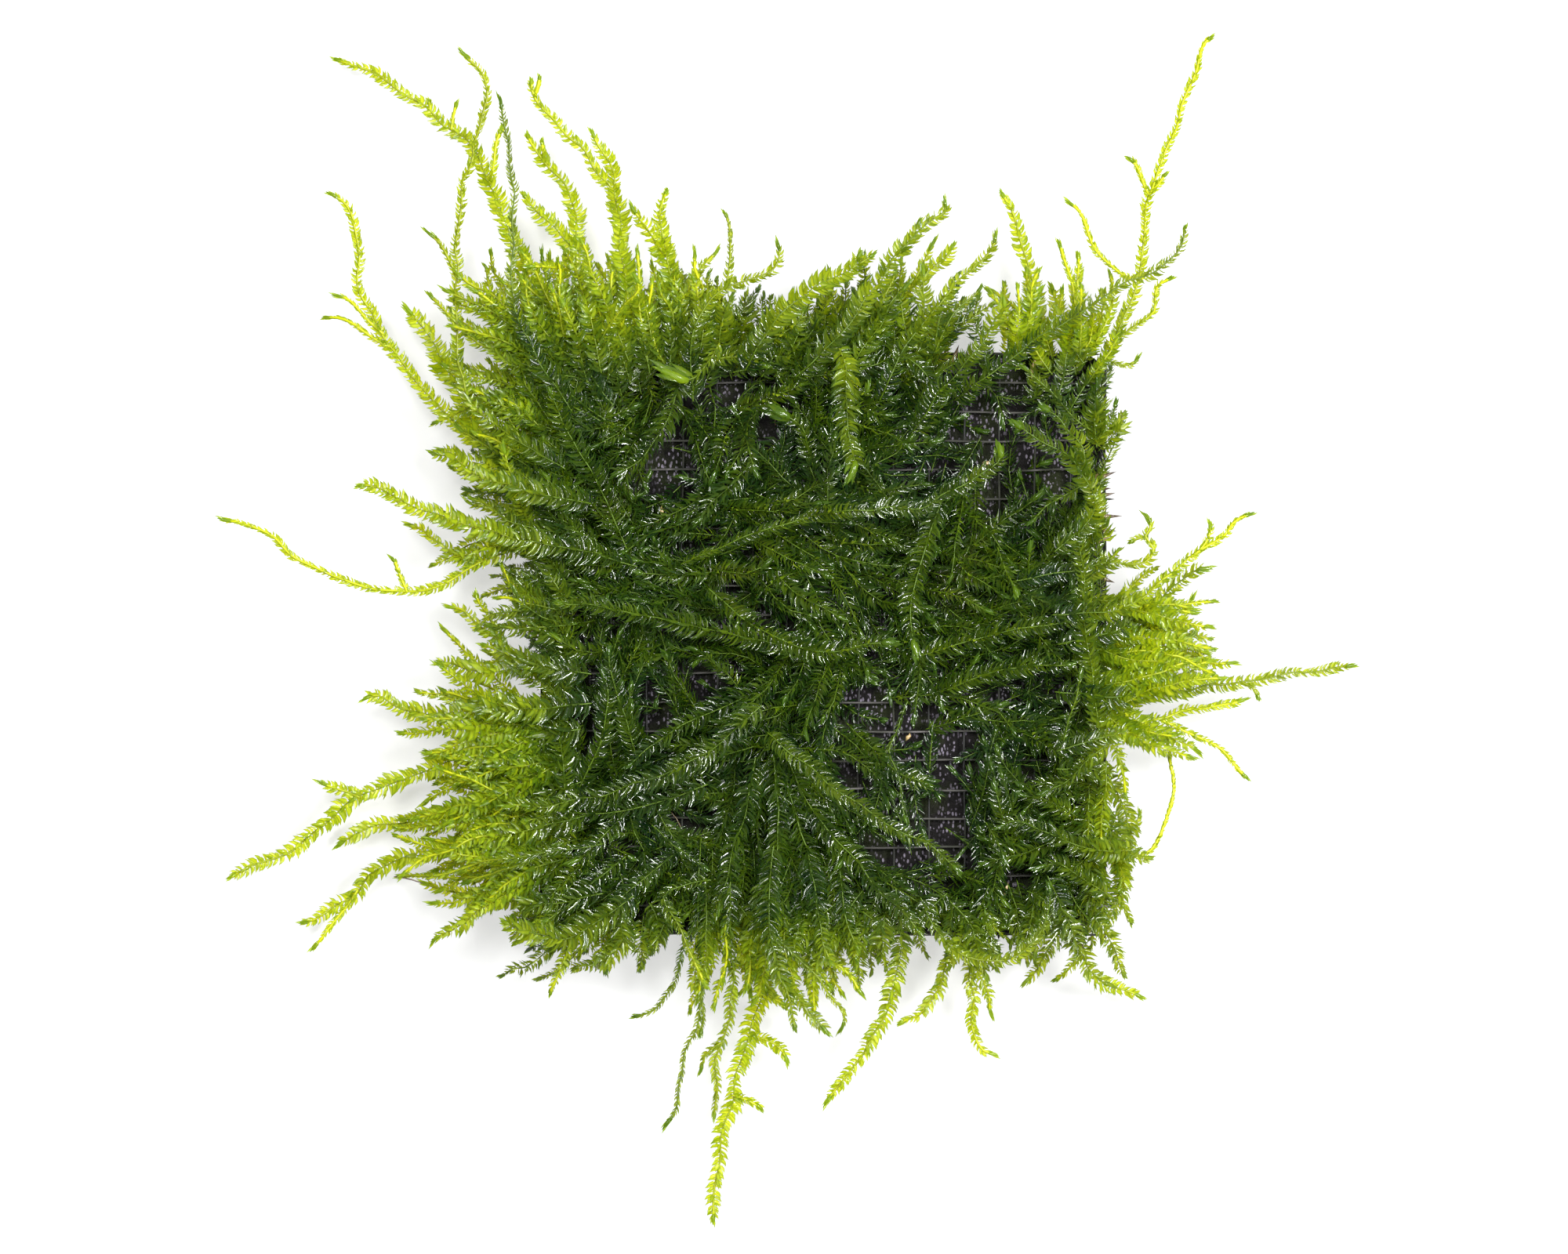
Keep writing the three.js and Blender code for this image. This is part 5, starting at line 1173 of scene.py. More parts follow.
# Top shoots: the ones that lie over the thickets. Each is its leafy width at the root, middle and tip,
# its height at the root and tip, its route in plan and, where it ends in a blade, that one's length
# and radius.
TOP_SHOOTS = {
    "over_northwest": [
        ((2.8, 3.0, 1.6), (8.2, 10.4), [(-17.4, 8.5), (-20.1, 14.6), (-22.6, 18.8), (-24.3, 22.9)]),
        ((2.6, 2.8, 1.4), (8.0, 10.0), [(-17.7, 10.7), (-20.7, 12.3), (-23.3, 13.5), (-25.1, 15.6)]),
        ((2.6, 2.4, 1.2), (8.4, 9.8), [(-16.5, 6.9), (-20.1, 7.9), (-23.3, 8.9), (-26, 9.6)]),
        ((2.4, 2.2, 1.0), (8.0, 10.2), [(-22.8, 5.6), (-25.4, 9.6), (-27.2, 13.9), (-28.4, 18.2)]),
    ],
    "over_far_northwest": [
        ((2.6, 2.4, 1.0), (8.0, 10.6), [(-19.3, 20.1), (-21, 23.6), (-21.7, 27.1), (-23.2, 30.7)]),
        ((1.6, 1.5, 1.0), (8.0, 9.0), [(-20.1, 19.6), (-18.4, 20.4), (-17, 20.8), (-15.8, 21.3)]),
        ((2.8, 2.6, 1.2), (9.0, 9.2), [(-12.4, 23.9), (-13.9, 19.6), (-16.1, 16.4), (-18.9, 14.6)]),
        ((1.8, 1.5, 1.1), (9.0, 12.0), [(-20.1, 25.8), (-19.2, 27.7), (-17.7, 29.7), (-16.1, 31.6),
         (-17, 32.8)]),
    ],
    "bud_shoot_north": [
        ((1.6, 1.2, 1.1), (9.6, 11.4), [(-9.2, 26.5), (-10.1, 25.1), (-11.7, 23.2), (-13.8, 24),
         (-15.6, 24.7)], (4.8, 0.52)),
        ((1.8, 1.5, 1.0), (9.4, 10.2), [(-10.1, 25), (-8.3, 25.4), (-6.4, 25), (-4.5, 24.4)]),
    ],
    "bud_shoot_middle": [
        ((2.4, 2.2, 1.1), (8.6, 11.2), [(-0.7, 15), (-1.4, 17.5), (-1.7, 19), (-3.2, 20.1), (-5.1, 20.8)],
         (2.8, 0.5)),
        ((1.6, 1.4, 1.0), (10.2, 11.6), [(1.2, 21), (2.6, 21.9), (4, 22.2), (3.9, 23.5)]),
    ],
    "sweep_west": [
        ((2.6, 2.6, 0.9), (9.6, 11.2), [(-0.6, -0.8), (-5.4, 0.3), (-10.4, 1.4), (-15.1, 2.4),
         (-19.7, 3.3), (-23.9, 3.8)]),
    ],
    "sweep_middle": [
        ((2.4, 2.6, 1.0), (9.2, 12.4), [(-10.1, 4.9), (-7.2, 2.4), (-3.5, 0.3), (0.1, -0.7), (3.3, -0.1),
         (6.9, 0.3)], (2.2, 0.32)),
    ],
    "hanging_middle": [
        ((2.8, 2.6, 1.0), (9.4, 12.2), [(10.4, 12.6), (9.2, 9.2), (8.2, 5.7), (7.6, 2.1), (8.5, -1.7)],
         (2.6, 0.32)),
    ],
    "sweep_east": [
        ((2.6, 2.4, 0.9), (9.4, 11.2), [(8.3, -1.1), (12.2, 0.1), (16, 1.1), (20.1, 1.8), (24, 2.2)]),
        ((2.4, 2.4, 1.0), (9.0, 10.4), [(11, -4), (14.7, -2.5), (18.8, -1.9), (22.4, -1.7)]),
    ],
    "upright_east": [
        ((2.4, 2.6, 1.2), (9.6, 11.0), [(24.3, -7.5), (23.8, -3.2), (23.1, 1.5), (22.9, 6.4), (22.4, 11.1)]),
        ((1.2, 1.1, 0.8), (9.8, 11.0), [(21, -9.7), (21.7, -6.4), (22.5, -3.9), (22.9, -1.9)]),
    ],
    "blade_northeast": [
        ((1.4, 1.4, 0.8), (9.0, 10.4), [(23.5, 19), (21.9, 20.1), (20.6, 21.9), (19, 23.3), (17.2, 24.7)]),
    ],
    "spur_east": [
        ((2.0, 1.6, 0.9), (9.2, 10.6), [(22.6, 13.9), (20.8, 12.9), (19.4, 11.9), (17.8, 10.4)]),
        ((1.6, 1.3, 1.0), (9.0, 10.8), [(15.4, 8.5), (16.2, 6.4), (17.2, 3.9)], (1.6, 0.28)),
        ((1.8, 1.8, 1.3), (9.0, 10.6), [(18.2, 5.4), (18.1, 7.4), (18.3, 9.3)]),
    ],
    "over_west": [
        ((2.6, 2.6, 1.2), (9.2, 9.8), [(-22.8, -13.1), (-23.2, -8.2), (-23.8, -4), (-25.6, -3.1),
         (-27.6, -2.1)]),
        ((2.4, 2.4, 1.2), (8.8, 9.8), [(-16.5, -10), (-17.4, -6.7), (-18.5, -3.5), (-19, 0)]),
        ((2.4, 2.6, 1.2), (8.6, 9.6), [(-21.8, -13.2), (-20, -9.4), (-19, -5.6), (-19.6, -1.7)]),
        ((2.6, 2.4, 1.2), (9.0, 10.0), [(-6.1, -4.3), (-9.4, -5.8), (-12.4, -7.1), (-15.1, -8.9),
         (-17.6, -11.1)]),
    ],
    "over_southwest": [
        ((2.6, 2.4, 1.1), (9.6, 11.2), [(-6.1, -9), (-11.1, -10.6), (-15.8, -12.5), (-20.7, -13.9),
         (-26.9, -14.2)]),
        ((2.6, 2.4, 1.1), (9.4, 10.4), [(-10.3, -12.4), (-14.4, -13.9), (-19, -14.9), (-23.2, -14.9),
         (-26.8, -15.6)]),
        ((2.2, 2.2, 1.4), (8.6, 10.4), [(-17.6, -14.9), (-19.2, -16.8), (-21.1, -18.5), (-22.9, -19.7)]),
        ((2.4, 2.2, 1.0), (8.8, 11.0), [(-12.8, -18.3), (-15.8, -20.6), (-18.3, -22.8), (-21.5, -25)]),
        ((1.4, 1.3, 0.9), (9.2, 10.6), [(-15.1, -16), (-13.1, -17.8), (-11.4, -19), (-10, -20.1)]),
        ((2.2, 2.2, 1.2), (8.4, 9.0), [(-17.5, -18.8), (-20, -20.8), (-22.5, -22.9), (-25, -24.9)]),
    ],
    "hook_south": [
        ((1.6, 1.3, 0.8), (9.6, 10.4), [(-10, -20.8), (-12.1, -21.2), (-14.2, -22.2), (-12.8, -24.6),
         (-11.8, -27.2), (-10.1, -30.6)]),
    ],
    "fan_south": [
        ((2.8, 2.6, 1.0), (9.6, 10.2), [(-3.5, -9.3), (-1.2, -14.3), (1.8, -17.9), (5.4, -22.1),
         (9.2, -26)]),
        ((2.6, 2.8, 1.2), (9.8, 10.2), [(-4.4, -9.9), (-4, -14.6), (-4.2, -19.3), (-5.1, -24.3),
         (-4.7, -28.1)]),
        ((2.6, 2.6, 1.2), (9.8, 10.0), [(-6, -10), (-6.9, -14.9), (-8.3, -19.4), (-9.3, -24.3)]),
        ((2.4, 2.6, 1.2), (9.6, 9.8), [(-3.9, -9.6), (-2.4, -15.1), (-1, -20), (-0.3, -24.9), (0.7, -28.5)]),
        ((2.4, 2.2, 1.2), (9.0, 9.4), [(0, -15.8), (1.4, -19.3), (1.8, -23.5), (3.3, -27.4)]),
        ((1.6, 1.4, 1.0), (8.8, 10.0), [(1.1, -16.7), (1.9, -18.3), (1.1, -20.1)]),
    ],
    "branch_southeast": [
        ((1.0, 0.9, 0.8), (10.2, 11.8), [(7.4, -5.1), (6.5, -7.4), (5.7, -9.4), (6.7, -11.4), (6.9, -14.7),
         (7.5, -16.2)]),
        ((2.4, 2.2, 1.3), (8.6, 9.6), [(5.7, -10.6), (7.2, -11.7), (8.8, -12.2), (10, -12.6)]),
    ],
    "low_northeast": [
        ((2.6, 2.4, 1.4), (4.6, 5.6), [(19.5, 10.5), (19.2, 13), (18.8, 15.4)]),
        ((2.4, 2.4, 1.4), (4.6, 5.4), [(23, 11.5), (22.6, 14.5), (22.3, 17.5)]),
        ((2.4, 2.2, 1.2), (4.6, 5.6), [(9.6, 19.8), (12.4, 19.4), (15, 18.8)]),
        ((2.2, 2.2, 1.2), (4.6, 5.6), [(5.5, 17.6), (8.4, 17.8), (11.4, 17.6)]),
        ((2.6, 2.4, 1.2), (4.8, 5.8), [(6.5, 13.2), (9.4, 14), (12.4, 14.4)]),
        ((2.2, 2.0, 1.2), (4.6, 5.6), [(20.4, 16.2), (19.8, 18.6), (19.6, 21)]),
        ((2.4, 2.2, 1.2), (4.6, 5.4), [(7.4, 18.9), (10.2, 19.6), (13, 20.3)]),
        ((2.2, 2.0, 1.2), (4.6, 5.4), [(24.2, 20.6), (23.8, 17.8), (23.4, 15)]),
        ((2.4, 2.2, 1.2), (4.6, 5.4), [(16.5, 14.4), (18.4, 15.6), (20.6, 16.2)]),
        ((2.2, 2.0, 1.2), (4.6, 5.4), [(8.8, 11.6), (11.8, 11.9), (14.8, 11.4)]),
        ((2.4, 2.2, 1.2), (4.6, 5.6), [(24, 24.6), (21.6, 24.8), (19, 24.2)]),
        ((2.0, 1.8, 1.0), (4.6, 5.2), [(15.4, 20.6), (14.6, 22.4), (14.9, 24)]),
        ((2.2, 2.0, 1.0), (4.6, 5.2), [(22.4, 22.8), (20.6, 21.4), (18.4, 20.6)]),
    ],
    "twigs_north": [
        ((0.9, 0.8, 0.6), (7.0, 8.0), [(-10.4, 30.7), (-11.3, 33.5), (-11.5, 35.5)]),
        ((1.7, 1.4, 0.9), (8.0, 8.8), [(-25.7, 26.5), (-29, 30), (-31.7, 31.7)]),
        ((1.9, 1.6, 1.0), (9.0, 10.0), [(-22.9, 27.2), (-23.6, 30.3), (-24.2, 32.2)]),
    ],
    "twigs_south": [
        ((1.6, 1.3, 0.9), (8.6, 7.4), [(-3.5, -24.2), (-0.7, -27.3), (2.1, -29), (3.8, -31.5)]),
        ((1.3, 1.1, 0.8), (7.6, 7.0), [(-9, -29.4), (-9.4, -31.1), (-9.9, -32.5)]),
    ],
    "low_southeast": [
        ((1.8, 1.8, 1.0), (5.6, 6.6), [(9.4, -11.6), (9.6, -9.2), (9.5, -6.6)]),
        ((2.6, 2.4, 1.4), (5.2, 6.4), [(14.2, -15.2), (13.4, -12.6), (12.8, -10.4)]),
        ((2.4, 2.2, 1.2), (5.2, 6.6), [(16.6, -16.8), (16, -13.6), (15.4, -11)]),
        ((2.2, 2.0, 1.2), (5.6, 7.0), [(2.2, -7.6), (4, -8.6), (6.2, -10.6)]),
        ((2.2, 2.2, 1.4), (5.6, 6.8), [(7.3, -10.4), (8.8, -12), (10.4, -13.8)]),
        ((2.4, 2.2, 1.2), (5.2, 6.2), [(11.8, -6.4), (13.6, -6.8), (15.4, -7.9)]),
        ((2.4, 2.2, 1.2), (5.2, 6.2), [(1.6, -5.2), (3.6, -6.4), (5.8, -6.9)]),
        ((2.2, 2.0, 1.2), (5.2, 6.2), [(4.2, -9.2), (6.6, -9.4), (9, -8.6)]),
        ((2.2, 2.0, 1.2), (5.2, 6.0), [(5, -15.4), (7.2, -16.8), (9.6, -17.6)]),
    ],
    "reach_southeast": [
        ((2.6, 2.4, 1.0), (9.2, 10.2), [(27.1, -18.2), (23.5, -18.1), (20, -16.7), (16.9, -15.6),
         (14.9, -16.4)]),
        ((2.2, 2.0, 1.1), (9.4, 10.6), [(25, -8.9), (22.8, -10.7), (21, -12.4), (18.8, -13.5)]),
        ((2.2, 2.2, 1.2), (8.6, 9.6), [(16.1, -16.8), (15.7, -14.9), (14.9, -11.8)]),
        ((1.2, 1.2, 0.8), (9.0, 10.2), [(14.4, -15.8), (15.4, -17.5), (16.2, -19.7)]),
        ((2.4, 2.2, 1.2), (8.6, 9.6), [(25.1, -22.1), (22.8, -20.6), (20.6, -19.4), (18.2, -20.1)]),
    ],
}
# The groups that look hardly younger than their place makes them, how much younger they and the others
# are, and the painted shade of the low ones and the painted light of the others
OLD_GROUPS = ("low_", "fan_", "over_")
OLD_FRESH = 0.02
TOP_FRESH = 0.15
LOW_PAINTED_SHADE = -0.3
TOP_PAINTED_SHADE = 0.06


def top_shoots(name, strands):
    rng = random_for(name)
    sheaf = Sheaf()
    fresh = OLD_FRESH if name.startswith(OLD_GROUPS) else TOP_FRESH
    # The low groups are painted darker as shade, the others a little lighter as painted light.
    painted_shade = LOW_PAINTED_SHADE if name.startswith("low_") else TOP_PAINTED_SHADE
    for widths, heights, route, *blade_tip in strands:
        line = alive(with_heights(route, heights), rng, 0.1)
        blade = blade_tip[0] if blade_tip else None
        shoot(sheaf, line, widths, rng, fresh=fresh, blade_tip=blade, flat=ROUNDED, painted_shade=painted_shade)
    moss_piece(sheaf, name)


for name, strands in TOP_SHOOTS.items():
    top_shoots(name, strands)


# Fringe: the crowded short fronds along the pad's edges. Each is the middle and half size of the
# stretch that it grows from, its heading and the spread of that in degrees, its shortest and longest
# frond, how many it has, and how much lighter they are than their place makes them.
FRINGE = {
    "far_northwest": ((-21.5, 22), (3.5, 3.5), 125, 25, (7, 15), 50, 0.1),
    "top_northwest": ((-23.5, 24.5), (2.5, 2), 108, 20, (5, 10), 28, -0.1),
    "high_west": ((-23.5, 17), (2, 3.5), 138, 20, (5, 10), 38, 0.1),
    "west": ((-22, 11), (2, 5), 158, 19, (5, 12), 41, -0.4),
    "middle_west": ((-23, 3), (1.5, 5), 165, 22, (4, 8), 27, -0.1),
    "southwest": ((-23.2, -12.5), (2, 7), 192, 23, (7, 14.5), 86, 0.35),
    "corner_southwest": ((-20.5, -22), (3, 3), 225, 24, (4, 9), 28, -0.1),
    "far_southwest": ((-16, -23.5), (4, 1), 262, 32, (3, 5.5), 16, 0.0),
    "south": ((-5, -21), (6, 3), 270, 20, (6, 12), 50, 0.35),
    "middle_south": ((5, -23), (4, 2), 265, 27, (4, 8), 22, 0.1),
    "southeast": ((17, -23), (7, 2), 280, 28, (3.5, 7), 26, 0.1),
    "low_east": ((24, -14), (1.2, 7), 280, 45, (4, 7), 18, 0.2),
    "east": ((24, -1.5), (2, 5.5), 2, 19, (6, 11.5), 38, 0.6),
    "high_east": ((23.9, 12.5), (1, 8.5), 84, 22, (4, 6), 14, -0.1),
    "northeast": ((19.8, 24.4), (3.8, 1.4), 86, 18, (4.5, 8.5), 19, 1.3),
    "north_left": ((-8, 25.4), (5, 1.8), 72, 34, (3.5, 7), 52, -0.5),
    "north": ((2, 25), (8.5, 2), 64, 30, (5, 9), 84, -0.55),
    "northwest": ((-15, 24), (4.5, 2), 98, 21, (6, 12), 50, 0.1),
}
# The length from its root over which a frond's lightness comes in, how much that varies, its widths,
# how high above the mesh the lowest root stands and how much the highest one more, the same for the
# tips above the floor, how much those vary and their least height, and the layers that have full leaves
DARK_ROOT = 4.5
LIGHT_VARIES = 0.4
FRINGE_WIDTHS = 1.6, 2.7
ROOT_LOW = 0.7
ROOT_RISE = 2.2
TIP_HEIGHTS = 2.2, 5.5
TIP_VARIES = 0.8
LEAST_TIP = 1.6
FULL_LEAVES_ABOVE = 0.66


def fringe(name, middle, half, heading, spread, lengths, count, light):
    rng = random_for(name)
    sheaf = Sheaf()
    for place in range(count):
        level = place / count
        start = middle + half * rng.uniform(-1, 1, 2)
        angle = math.radians(rng.normal(heading, spread))
        route = short_route(start, angle, rng.uniform(*lengths), rng, 0.3)
        root = MESH_HIGH[2] + ROOT_LOW + ROOT_RISE * level
        tip = ramp(TIP_HEIGHTS, level) + rng.uniform(-TIP_VARIES, TIP_VARIES)
        width = rng.uniform(*FRINGE_WIDTHS)
        line = alive(with_heights(route, (root, root + 0.4, max(tip, LEAST_TIP))), rng)
        form = FULL_LEAF if level > FULL_LEAVES_ABOVE else PLAIN_LEAF
        lit = np.clip(lengths_along(line) / DARK_ROOT, 0, 1)
        fresh = (light + rng.uniform(-LIGHT_VARIES, LIGHT_VARIES)) * lit
        shoot(sheaf, line, (width, width * 0.95, width * 0.25), rng, roll=0.5, fresh=fresh, form=form)
    moss_piece(sheaf, name)


for side, tuft in FRINGE.items():
    fringe("fringe_" + side, *tuft)


# Dry bits: cut stalks that point out of two edges, and husks and threads caught on the mesh. A stalk is
# its foot, heading in degrees and length; a husk is its middle, heading, length and lightness.
CUT_STALKS = [
    ((24.3, 14.7), 20, 1.5), ((24.2, 13.7), 5, 1.1), ((24.4, 13.1), 12, 1.3), ((24.5, 11.3), 2, 1.7),
    ((24.6, 10.2), -8, 1.2), ((24.3, 9.2), 14, 1.5), ((24.5, 7.7), 0, 1.4), ((24.6, 5.9), -20, 1.1),
    ((9.9, 25.2), 95, 1.5), ((10.8, 25.3), 80, 1.7), ((11.5, 25.1), 70, 1.3), ((12.9, 25.2), 84, 1.2),
    ((-25.6, 4.4), 92, 2.4), ((-25.7, 1.2), 88, 2.2), ((22.8, -25.6), -80, 1.2),
]
HUSKS = [
    ((-18.1, 25.1), 60, 0.9, 0.8), ((-24.5, 24.8), 85, 1.4, 0.9), ((-18.8, 23.7), 140, 0.8, 0.6),
    ((-17.0, 23.3), 20, 0.9, 0.5), ((-10.3, 26.5), 88, 0.8, 0.9), ((18.6, 24.4), 75, 1.8, 0.9),
    ((19.3, 25.0), 110, 1.3, 0.8), ((-17.0, 12.2), 80, 0.6, 1.0), ((-14.3, 11.8), 88, 0.8, 1.0),
    ((-15.6, 11.0), 95, 0.7, 1.0), ((-14.7, 10.7), 30, 0.8, 0.9), ((-18.1, -0.4), 25, 0.9, 0.8),
    ((16.1, -21.9), 70, 1.3, 0.8), ((17.2, -22.7), 120, 1.0, 0.7), ((24.3, 14.9), 40, 1.1, 1.0),
    ((24.7, 11.4), 70, 1.2, 1.0), ((24.4, 9.5), 95, 1.3, 1.0), ((24.1, 6.2), 30, 0.9, 0.9),
    ((-16.4, 20.9), 150, 0.8, 0.6), ((14.5, 16.1), 10, 0.9, 0.5), ((7.5, -8.2), 60, 0.7, 0.7),
]
THREADS = [
    [(-37.9, -20.6), (-36.8, -20.8), (-35.6, -21.2)], [(-14.6, -14.2), (-13, -15.4), (-12.2, -16.8)],
    [(-22, 0.4), (-21, -0.8), (-21.2, -2.6)], [(-6.6, 22.2), (-4.6, 21.4), (-4.2, 19.6)],
]
# Along a stalk and a husk: the shares of its length, its radii, and a stalk's tones from foot to tip; how
# much a husk slopes; and a thread's radius and tone
STALK_SHARES = (0, 0.3, 0.6, 1)
STALK_RADII = np.array([0.26, 0.22, 0.15, 0.05])
STALK_TONES = np.array([0.7, 0.4, 0.12, 0.0])
HUSK_SHARES = np.linspace(-0.5, 0.5, 5)
HUSK_RADII = np.array([0.05, 0.15, 0.2, 0.14, 0.04])
HUSK_SLOPE = 0.2
THREAD_RADIUS = 0.06
THREAD_TONE = 0.1


def dry_bits():
    rng = random_for("dry_bits")
    sheaf = Sheaf()
    level = MESH_HIGH[2] + 0.3

    def add(line, radius, sides, tones):
        marks = np.column_stack([tones] + [np.zeros(len(line))] * (len(MARKS) - 1))
        tube(sheaf, line, radius, sides, marks)

    for foot, heading, length in CUT_STALKS:
        way = heading_way(math.radians(heading))
        line = np.array([[*(foot + way * share * length), level + rng.uniform(-0.4, 0.2)]
                         for share in STALK_SHARES])
        add(line, STALK_RADII, 6, STALK_TONES)
    for middle, heading, length, tone in HUSKS:
        way = np.array([*heading_way(math.radians(heading)), HUSK_SLOPE])
        line = np.array([*middle, level + 0.4]) + np.outer(HUSK_SHARES * length, way)
        line += rng.normal(0, 0.05, line.shape)
        add(line, HUSK_RADII, 6, np.full(len(line), tone))
    for route in THREADS:
        line = alive(with_heights(route, (level, level + 0.3)), rng, 0.1)
        add(line, THREAD_RADIUS, 4, np.full(len(line), THREAD_TONE))
    made = sheaf.piece("dry_bits", (dry(),))


dry_bits()


# Mesh: two layers of round wire, welded where they cross. A wire is a little wavy in plan and height,
# and its ends are cut unevenly. Each wave has how far it goes and over what length.
WIRE = 0.2
WIRES_ACROSS = 17
WIRES_ALONG = 21
WIRE_STEP = 1.2
WIRE_SIDES = 8
WELD = 0.05
WIRE_CUT = -0.4, 0.35
WIRE_SWAY = 0.07, 14
WIRE_RISE = 0.03, 11


def wire_mesh():
    rng = random_for("wire_mesh")
    sheaf = Sheaf()
    middle = (MESH_LOW[2] + MESH_HIGH[2]) / 2
    reach = (MESH_HIGH - MESH_LOW)[:2] / 2 - WIRE / 2
    for axis, count in ((0, WIRES_ACROSS), (1, WIRES_ALONG)):
        level = middle + (WIRE / 2 - WELD) * (1 if axis else -1)
        for place in np.linspace(-reach[axis], reach[axis], count):
            ends = reach[1 - axis] + rng.uniform(*WIRE_CUT, 2)
            along = np.arange(-ends[0], ends[1], WIRE_STEP)
            line = np.empty((len(along), 3))
            line[:, 1 - axis] = along
            line[:, axis] = place + WIRE_SWAY[0] * waves(along, WIRE_SWAY[1], rng)
            line[:, 2] = level + WIRE_RISE[0] * waves(along, WIRE_RISE[1], rng)
            marks = np.zeros((len(line), len(MARKS)))
            # The tone mark holds the layer: the wire material paints the lower layer darker as shade.
            marks[:, MARKS.index("tone")] = axis
            tube(sheaf, line, WIRE / 2, WIRE_SIDES, marks)
    made = sheaf.piece("crossed_wires", (wire(),))
    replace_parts(made, "wire_mesh")


wire_mesh()


# Mat: a looped black cloth, its top in low rows of loops and its edges rough. Here are the grid's step,
# the loops' spacing, depth, the share of it that shows and how uneven it is, the corners' radius, the
# width and depth of the rim, and the rings of points down the sides and how rough those are.
MAT_STEP = 0.35
LOOP_COLUMN = 1.1
LOOP_ROW = 0.8
LOOP_DEPTH = 0.32
LOOP_SHOWN = 0.9
LOOP_JITTER = 0.04
MAT_CORNER = 2.2
MAT_RIM = 0.9
RIM_DEPTH = 0.7
WALL_LEVELS = 8
WALL_BULGE = 0.012


def mat_outline():
    """A grid over the mat in plan, its corners drawn round."""
    half = MAT_HIGH[:2]
    counts = np.ceil(2 * half / MAT_STEP).astype(int) + 1
    across, along = np.meshgrid(*(np.linspace(-1, 1, count) for count in counts))
    corner = MAT_CORNER / half.mean()
    inner = 1 - corner
    over = np.maximum(np.abs(across) - inner, 0) / corner, np.maximum(np.abs(along) - inner, 0) / corner
    far = np.hypot(*over)
    pull = np.where(far > 1, 1 / np.maximum(far, 1), 1)
    x = np.sign(across) * (np.minimum(np.abs(across), inner) + over[0] * pull * corner) * half[0]
    y = np.sign(along) * (np.minimum(np.abs(along), inner) + over[1] * pull * corner) * half[1]
    return x, y


def mat_heights(x, y, rng):
    """The top of the mat: swaying columns of loops, lower at the rim."""
    sway = 0.35 * np.sin(y / 5.3 + 1.1) + 0.2 * np.sin(y / 2.1)
    rows = 0.6 + 0.4 * np.sin(2 * math.pi * y / LOOP_ROW)
    loops = np.abs(np.sin(math.pi * (x + sway) / LOOP_COLUMN)) * rows
    inside = np.minimum(MAT_HIGH[0] - np.abs(x), MAT_HIGH[1] - np.abs(y))
    rim = np.clip(inside / MAT_RIM, 0, 1) ** 0.5
    z = MAT_HIGH[2] - LOOP_DEPTH * (1 - loops) * LOOP_SHOWN - (1 - rim) * RIM_DEPTH
    return np.minimum(z + rng.normal(0, LOOP_JITTER, x.shape), MAT_HIGH[2])


def quads(a, b, c, d):
    return [np.stack([a, b, c], 1), np.stack([a, c, d], 1)]


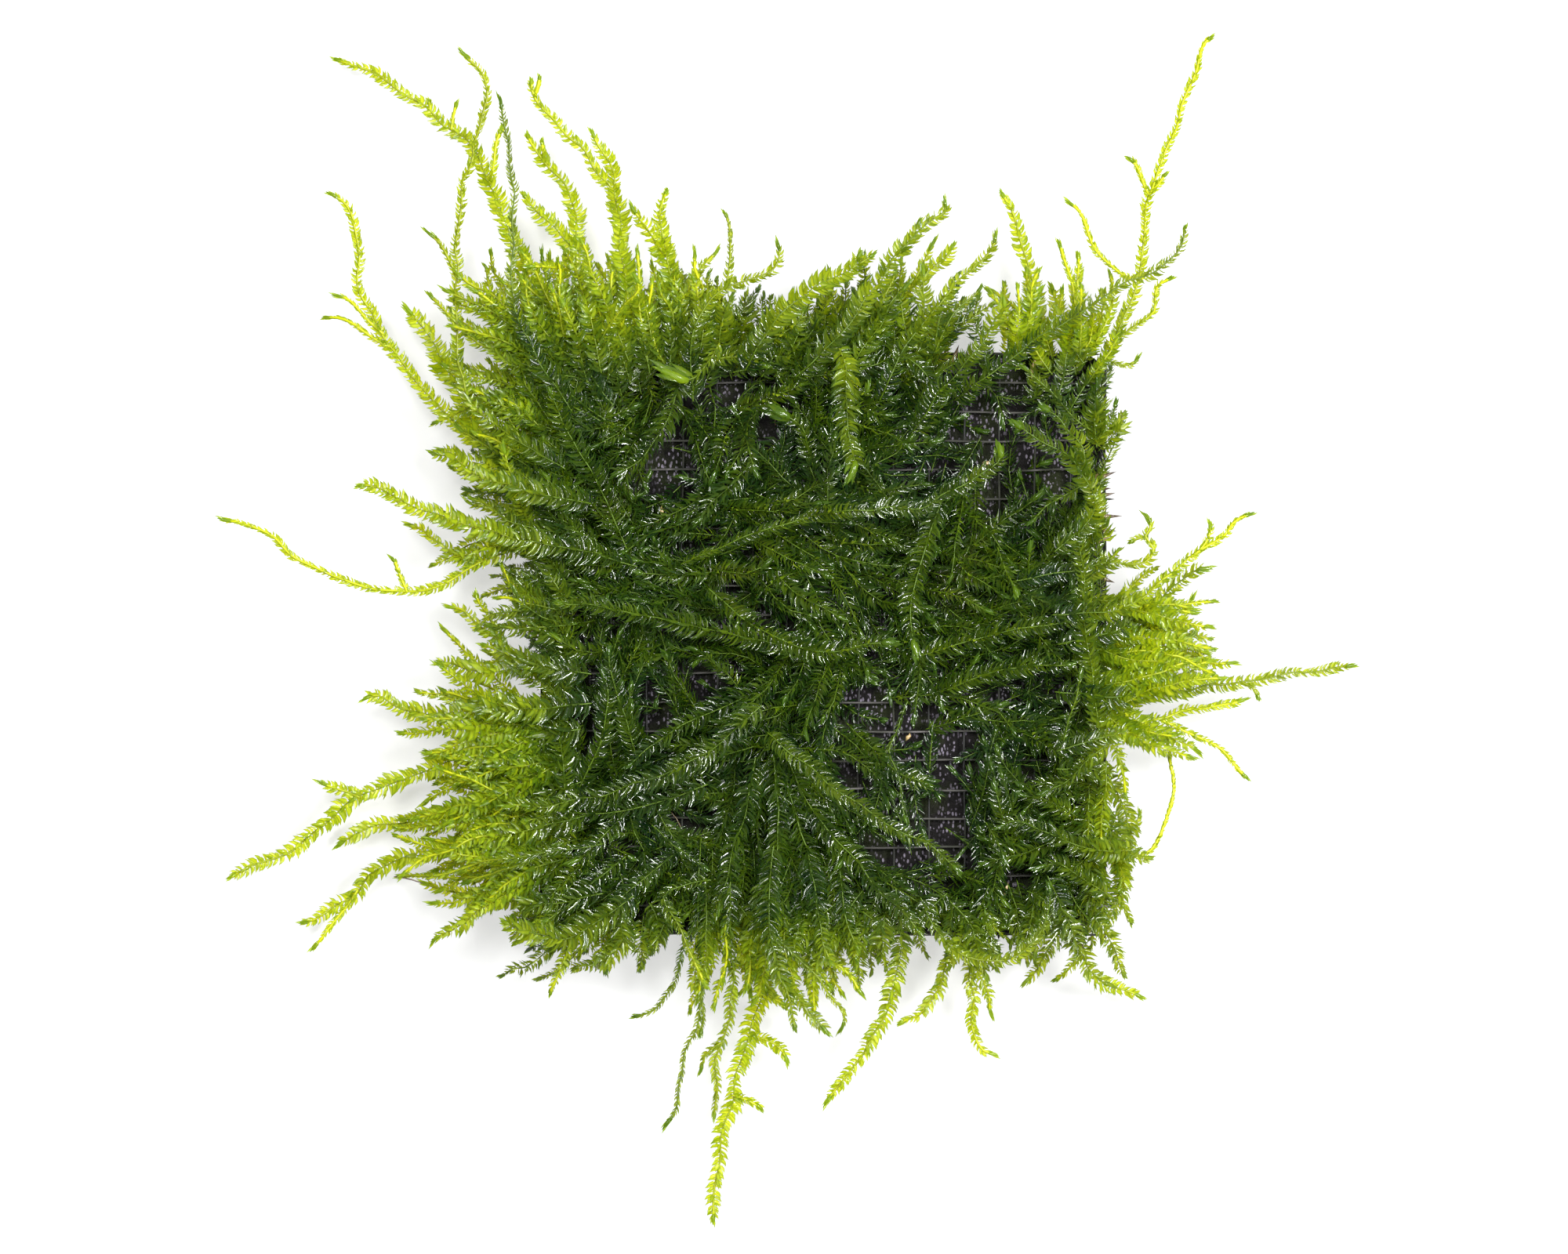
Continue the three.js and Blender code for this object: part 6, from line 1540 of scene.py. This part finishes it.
def mat():
    rng = random_for("fibre_mat")
    x, y = mat_outline()
    top = np.stack([x, y, mat_heights(x, y, rng)], axis=-1).reshape(-1, 3)
    index = np.arange(len(top)).reshape(x.shape)
    around = index[:-1, :-1], index[:-1, 1:], index[1:, 1:], index[1:, :-1]
    faces = quads(*(corner.ravel() for corner in around))
    edge = np.concatenate([index[0], index[1:, -1], index[-1, -2::-1], index[-2:0:-1, 0]])
    walls, points, count = [edge], [top], len(top)
    for level in range(1, WALL_LEVELS + 1):
        share = level / WALL_LEVELS
        bulge = 1 - WALL_BULGE * math.sin(math.pi * share) * rng.uniform(0.4, 1, len(edge))
        points.append(np.column_stack([top[edge, :2] * bulge[:, None], top[edge, 2] * (1 - share)]))
        walls.append(np.arange(count, count + len(edge)))
        count += len(edge)
    points.append(np.zeros((1, 3)))
    for upper, lower in zip(walls, walls[1:]):
        faces += quads(upper, lower, np.roll(lower, -1), np.roll(upper, -1))
    faces.append(np.stack([walls[-1], np.full(len(edge), count), np.roll(walls[-1], -1)], 1))
    sheaf = Sheaf()
    sheaf.add(np.concatenate(points), np.concatenate(faces))
    made = sheaf.piece("fibre_mat", (cloth(),))
    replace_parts(made, "growing_mat")


mat()


# Light: a pale floor that glows as a light table does, a soft white surround and three lamps. Sizes and
# distances here are in metres.
FLOOR_HALF = 0.6
LAMP_AWAY = 1.0
SURROUND = (0.95, 0.97, 1, 1)
SURROUND_STRENGTH = 0.16

corners = [(x * FLOOR_HALF, y * FLOOR_HALF, 0) for x, y in ((-1, -1), (1, -1), (1, 1), (-1, 1))]
floor_mesh = bpy.data.meshes.new("floor")
floor_mesh.from_pydata(corners, [], [(0, 1, 2, 3)])
floor_mesh.materials.append(white_floor())
floor = place_in_scene("floor", floor_mesh)


def lamp(name, rise, turn, size, energy):
    """A square lamp aimed at the middle of the pad, from that many degrees up and round from +X."""
    data = bpy.data.lights.new(name, "AREA")
    data.shape = "SQUARE"
    data.size = size
    data.energy = energy
    made = place_in_scene(name, data)
    rise, turn = math.radians(rise), math.radians(turn)
    level = LAMP_AWAY * math.cos(rise)
    made.location = (level * math.cos(turn), level * math.sin(turn), LAMP_AWAY * math.sin(rise))
    made.rotation_euler = (0, math.pi / 2 - rise, turn)


lamp("lamp_right", 52, 16, 0.38, 28)
lamp("lamp_far_left", 70, 120, 0.32, 15)
lamp("lamp_near", 60, -70, 0.26, 6)

world = bpy.data.worlds.new("studio")
world.use_nodes = True
background = world.node_tree.nodes["Background"]
background.inputs["Color"].default_value = SURROUND
background.inputs["Strength"].default_value = SURROUND_STRENGTH
bpy.context.scene.world = world
bpy.context.scene.view_settings.view_transform = "Standard"
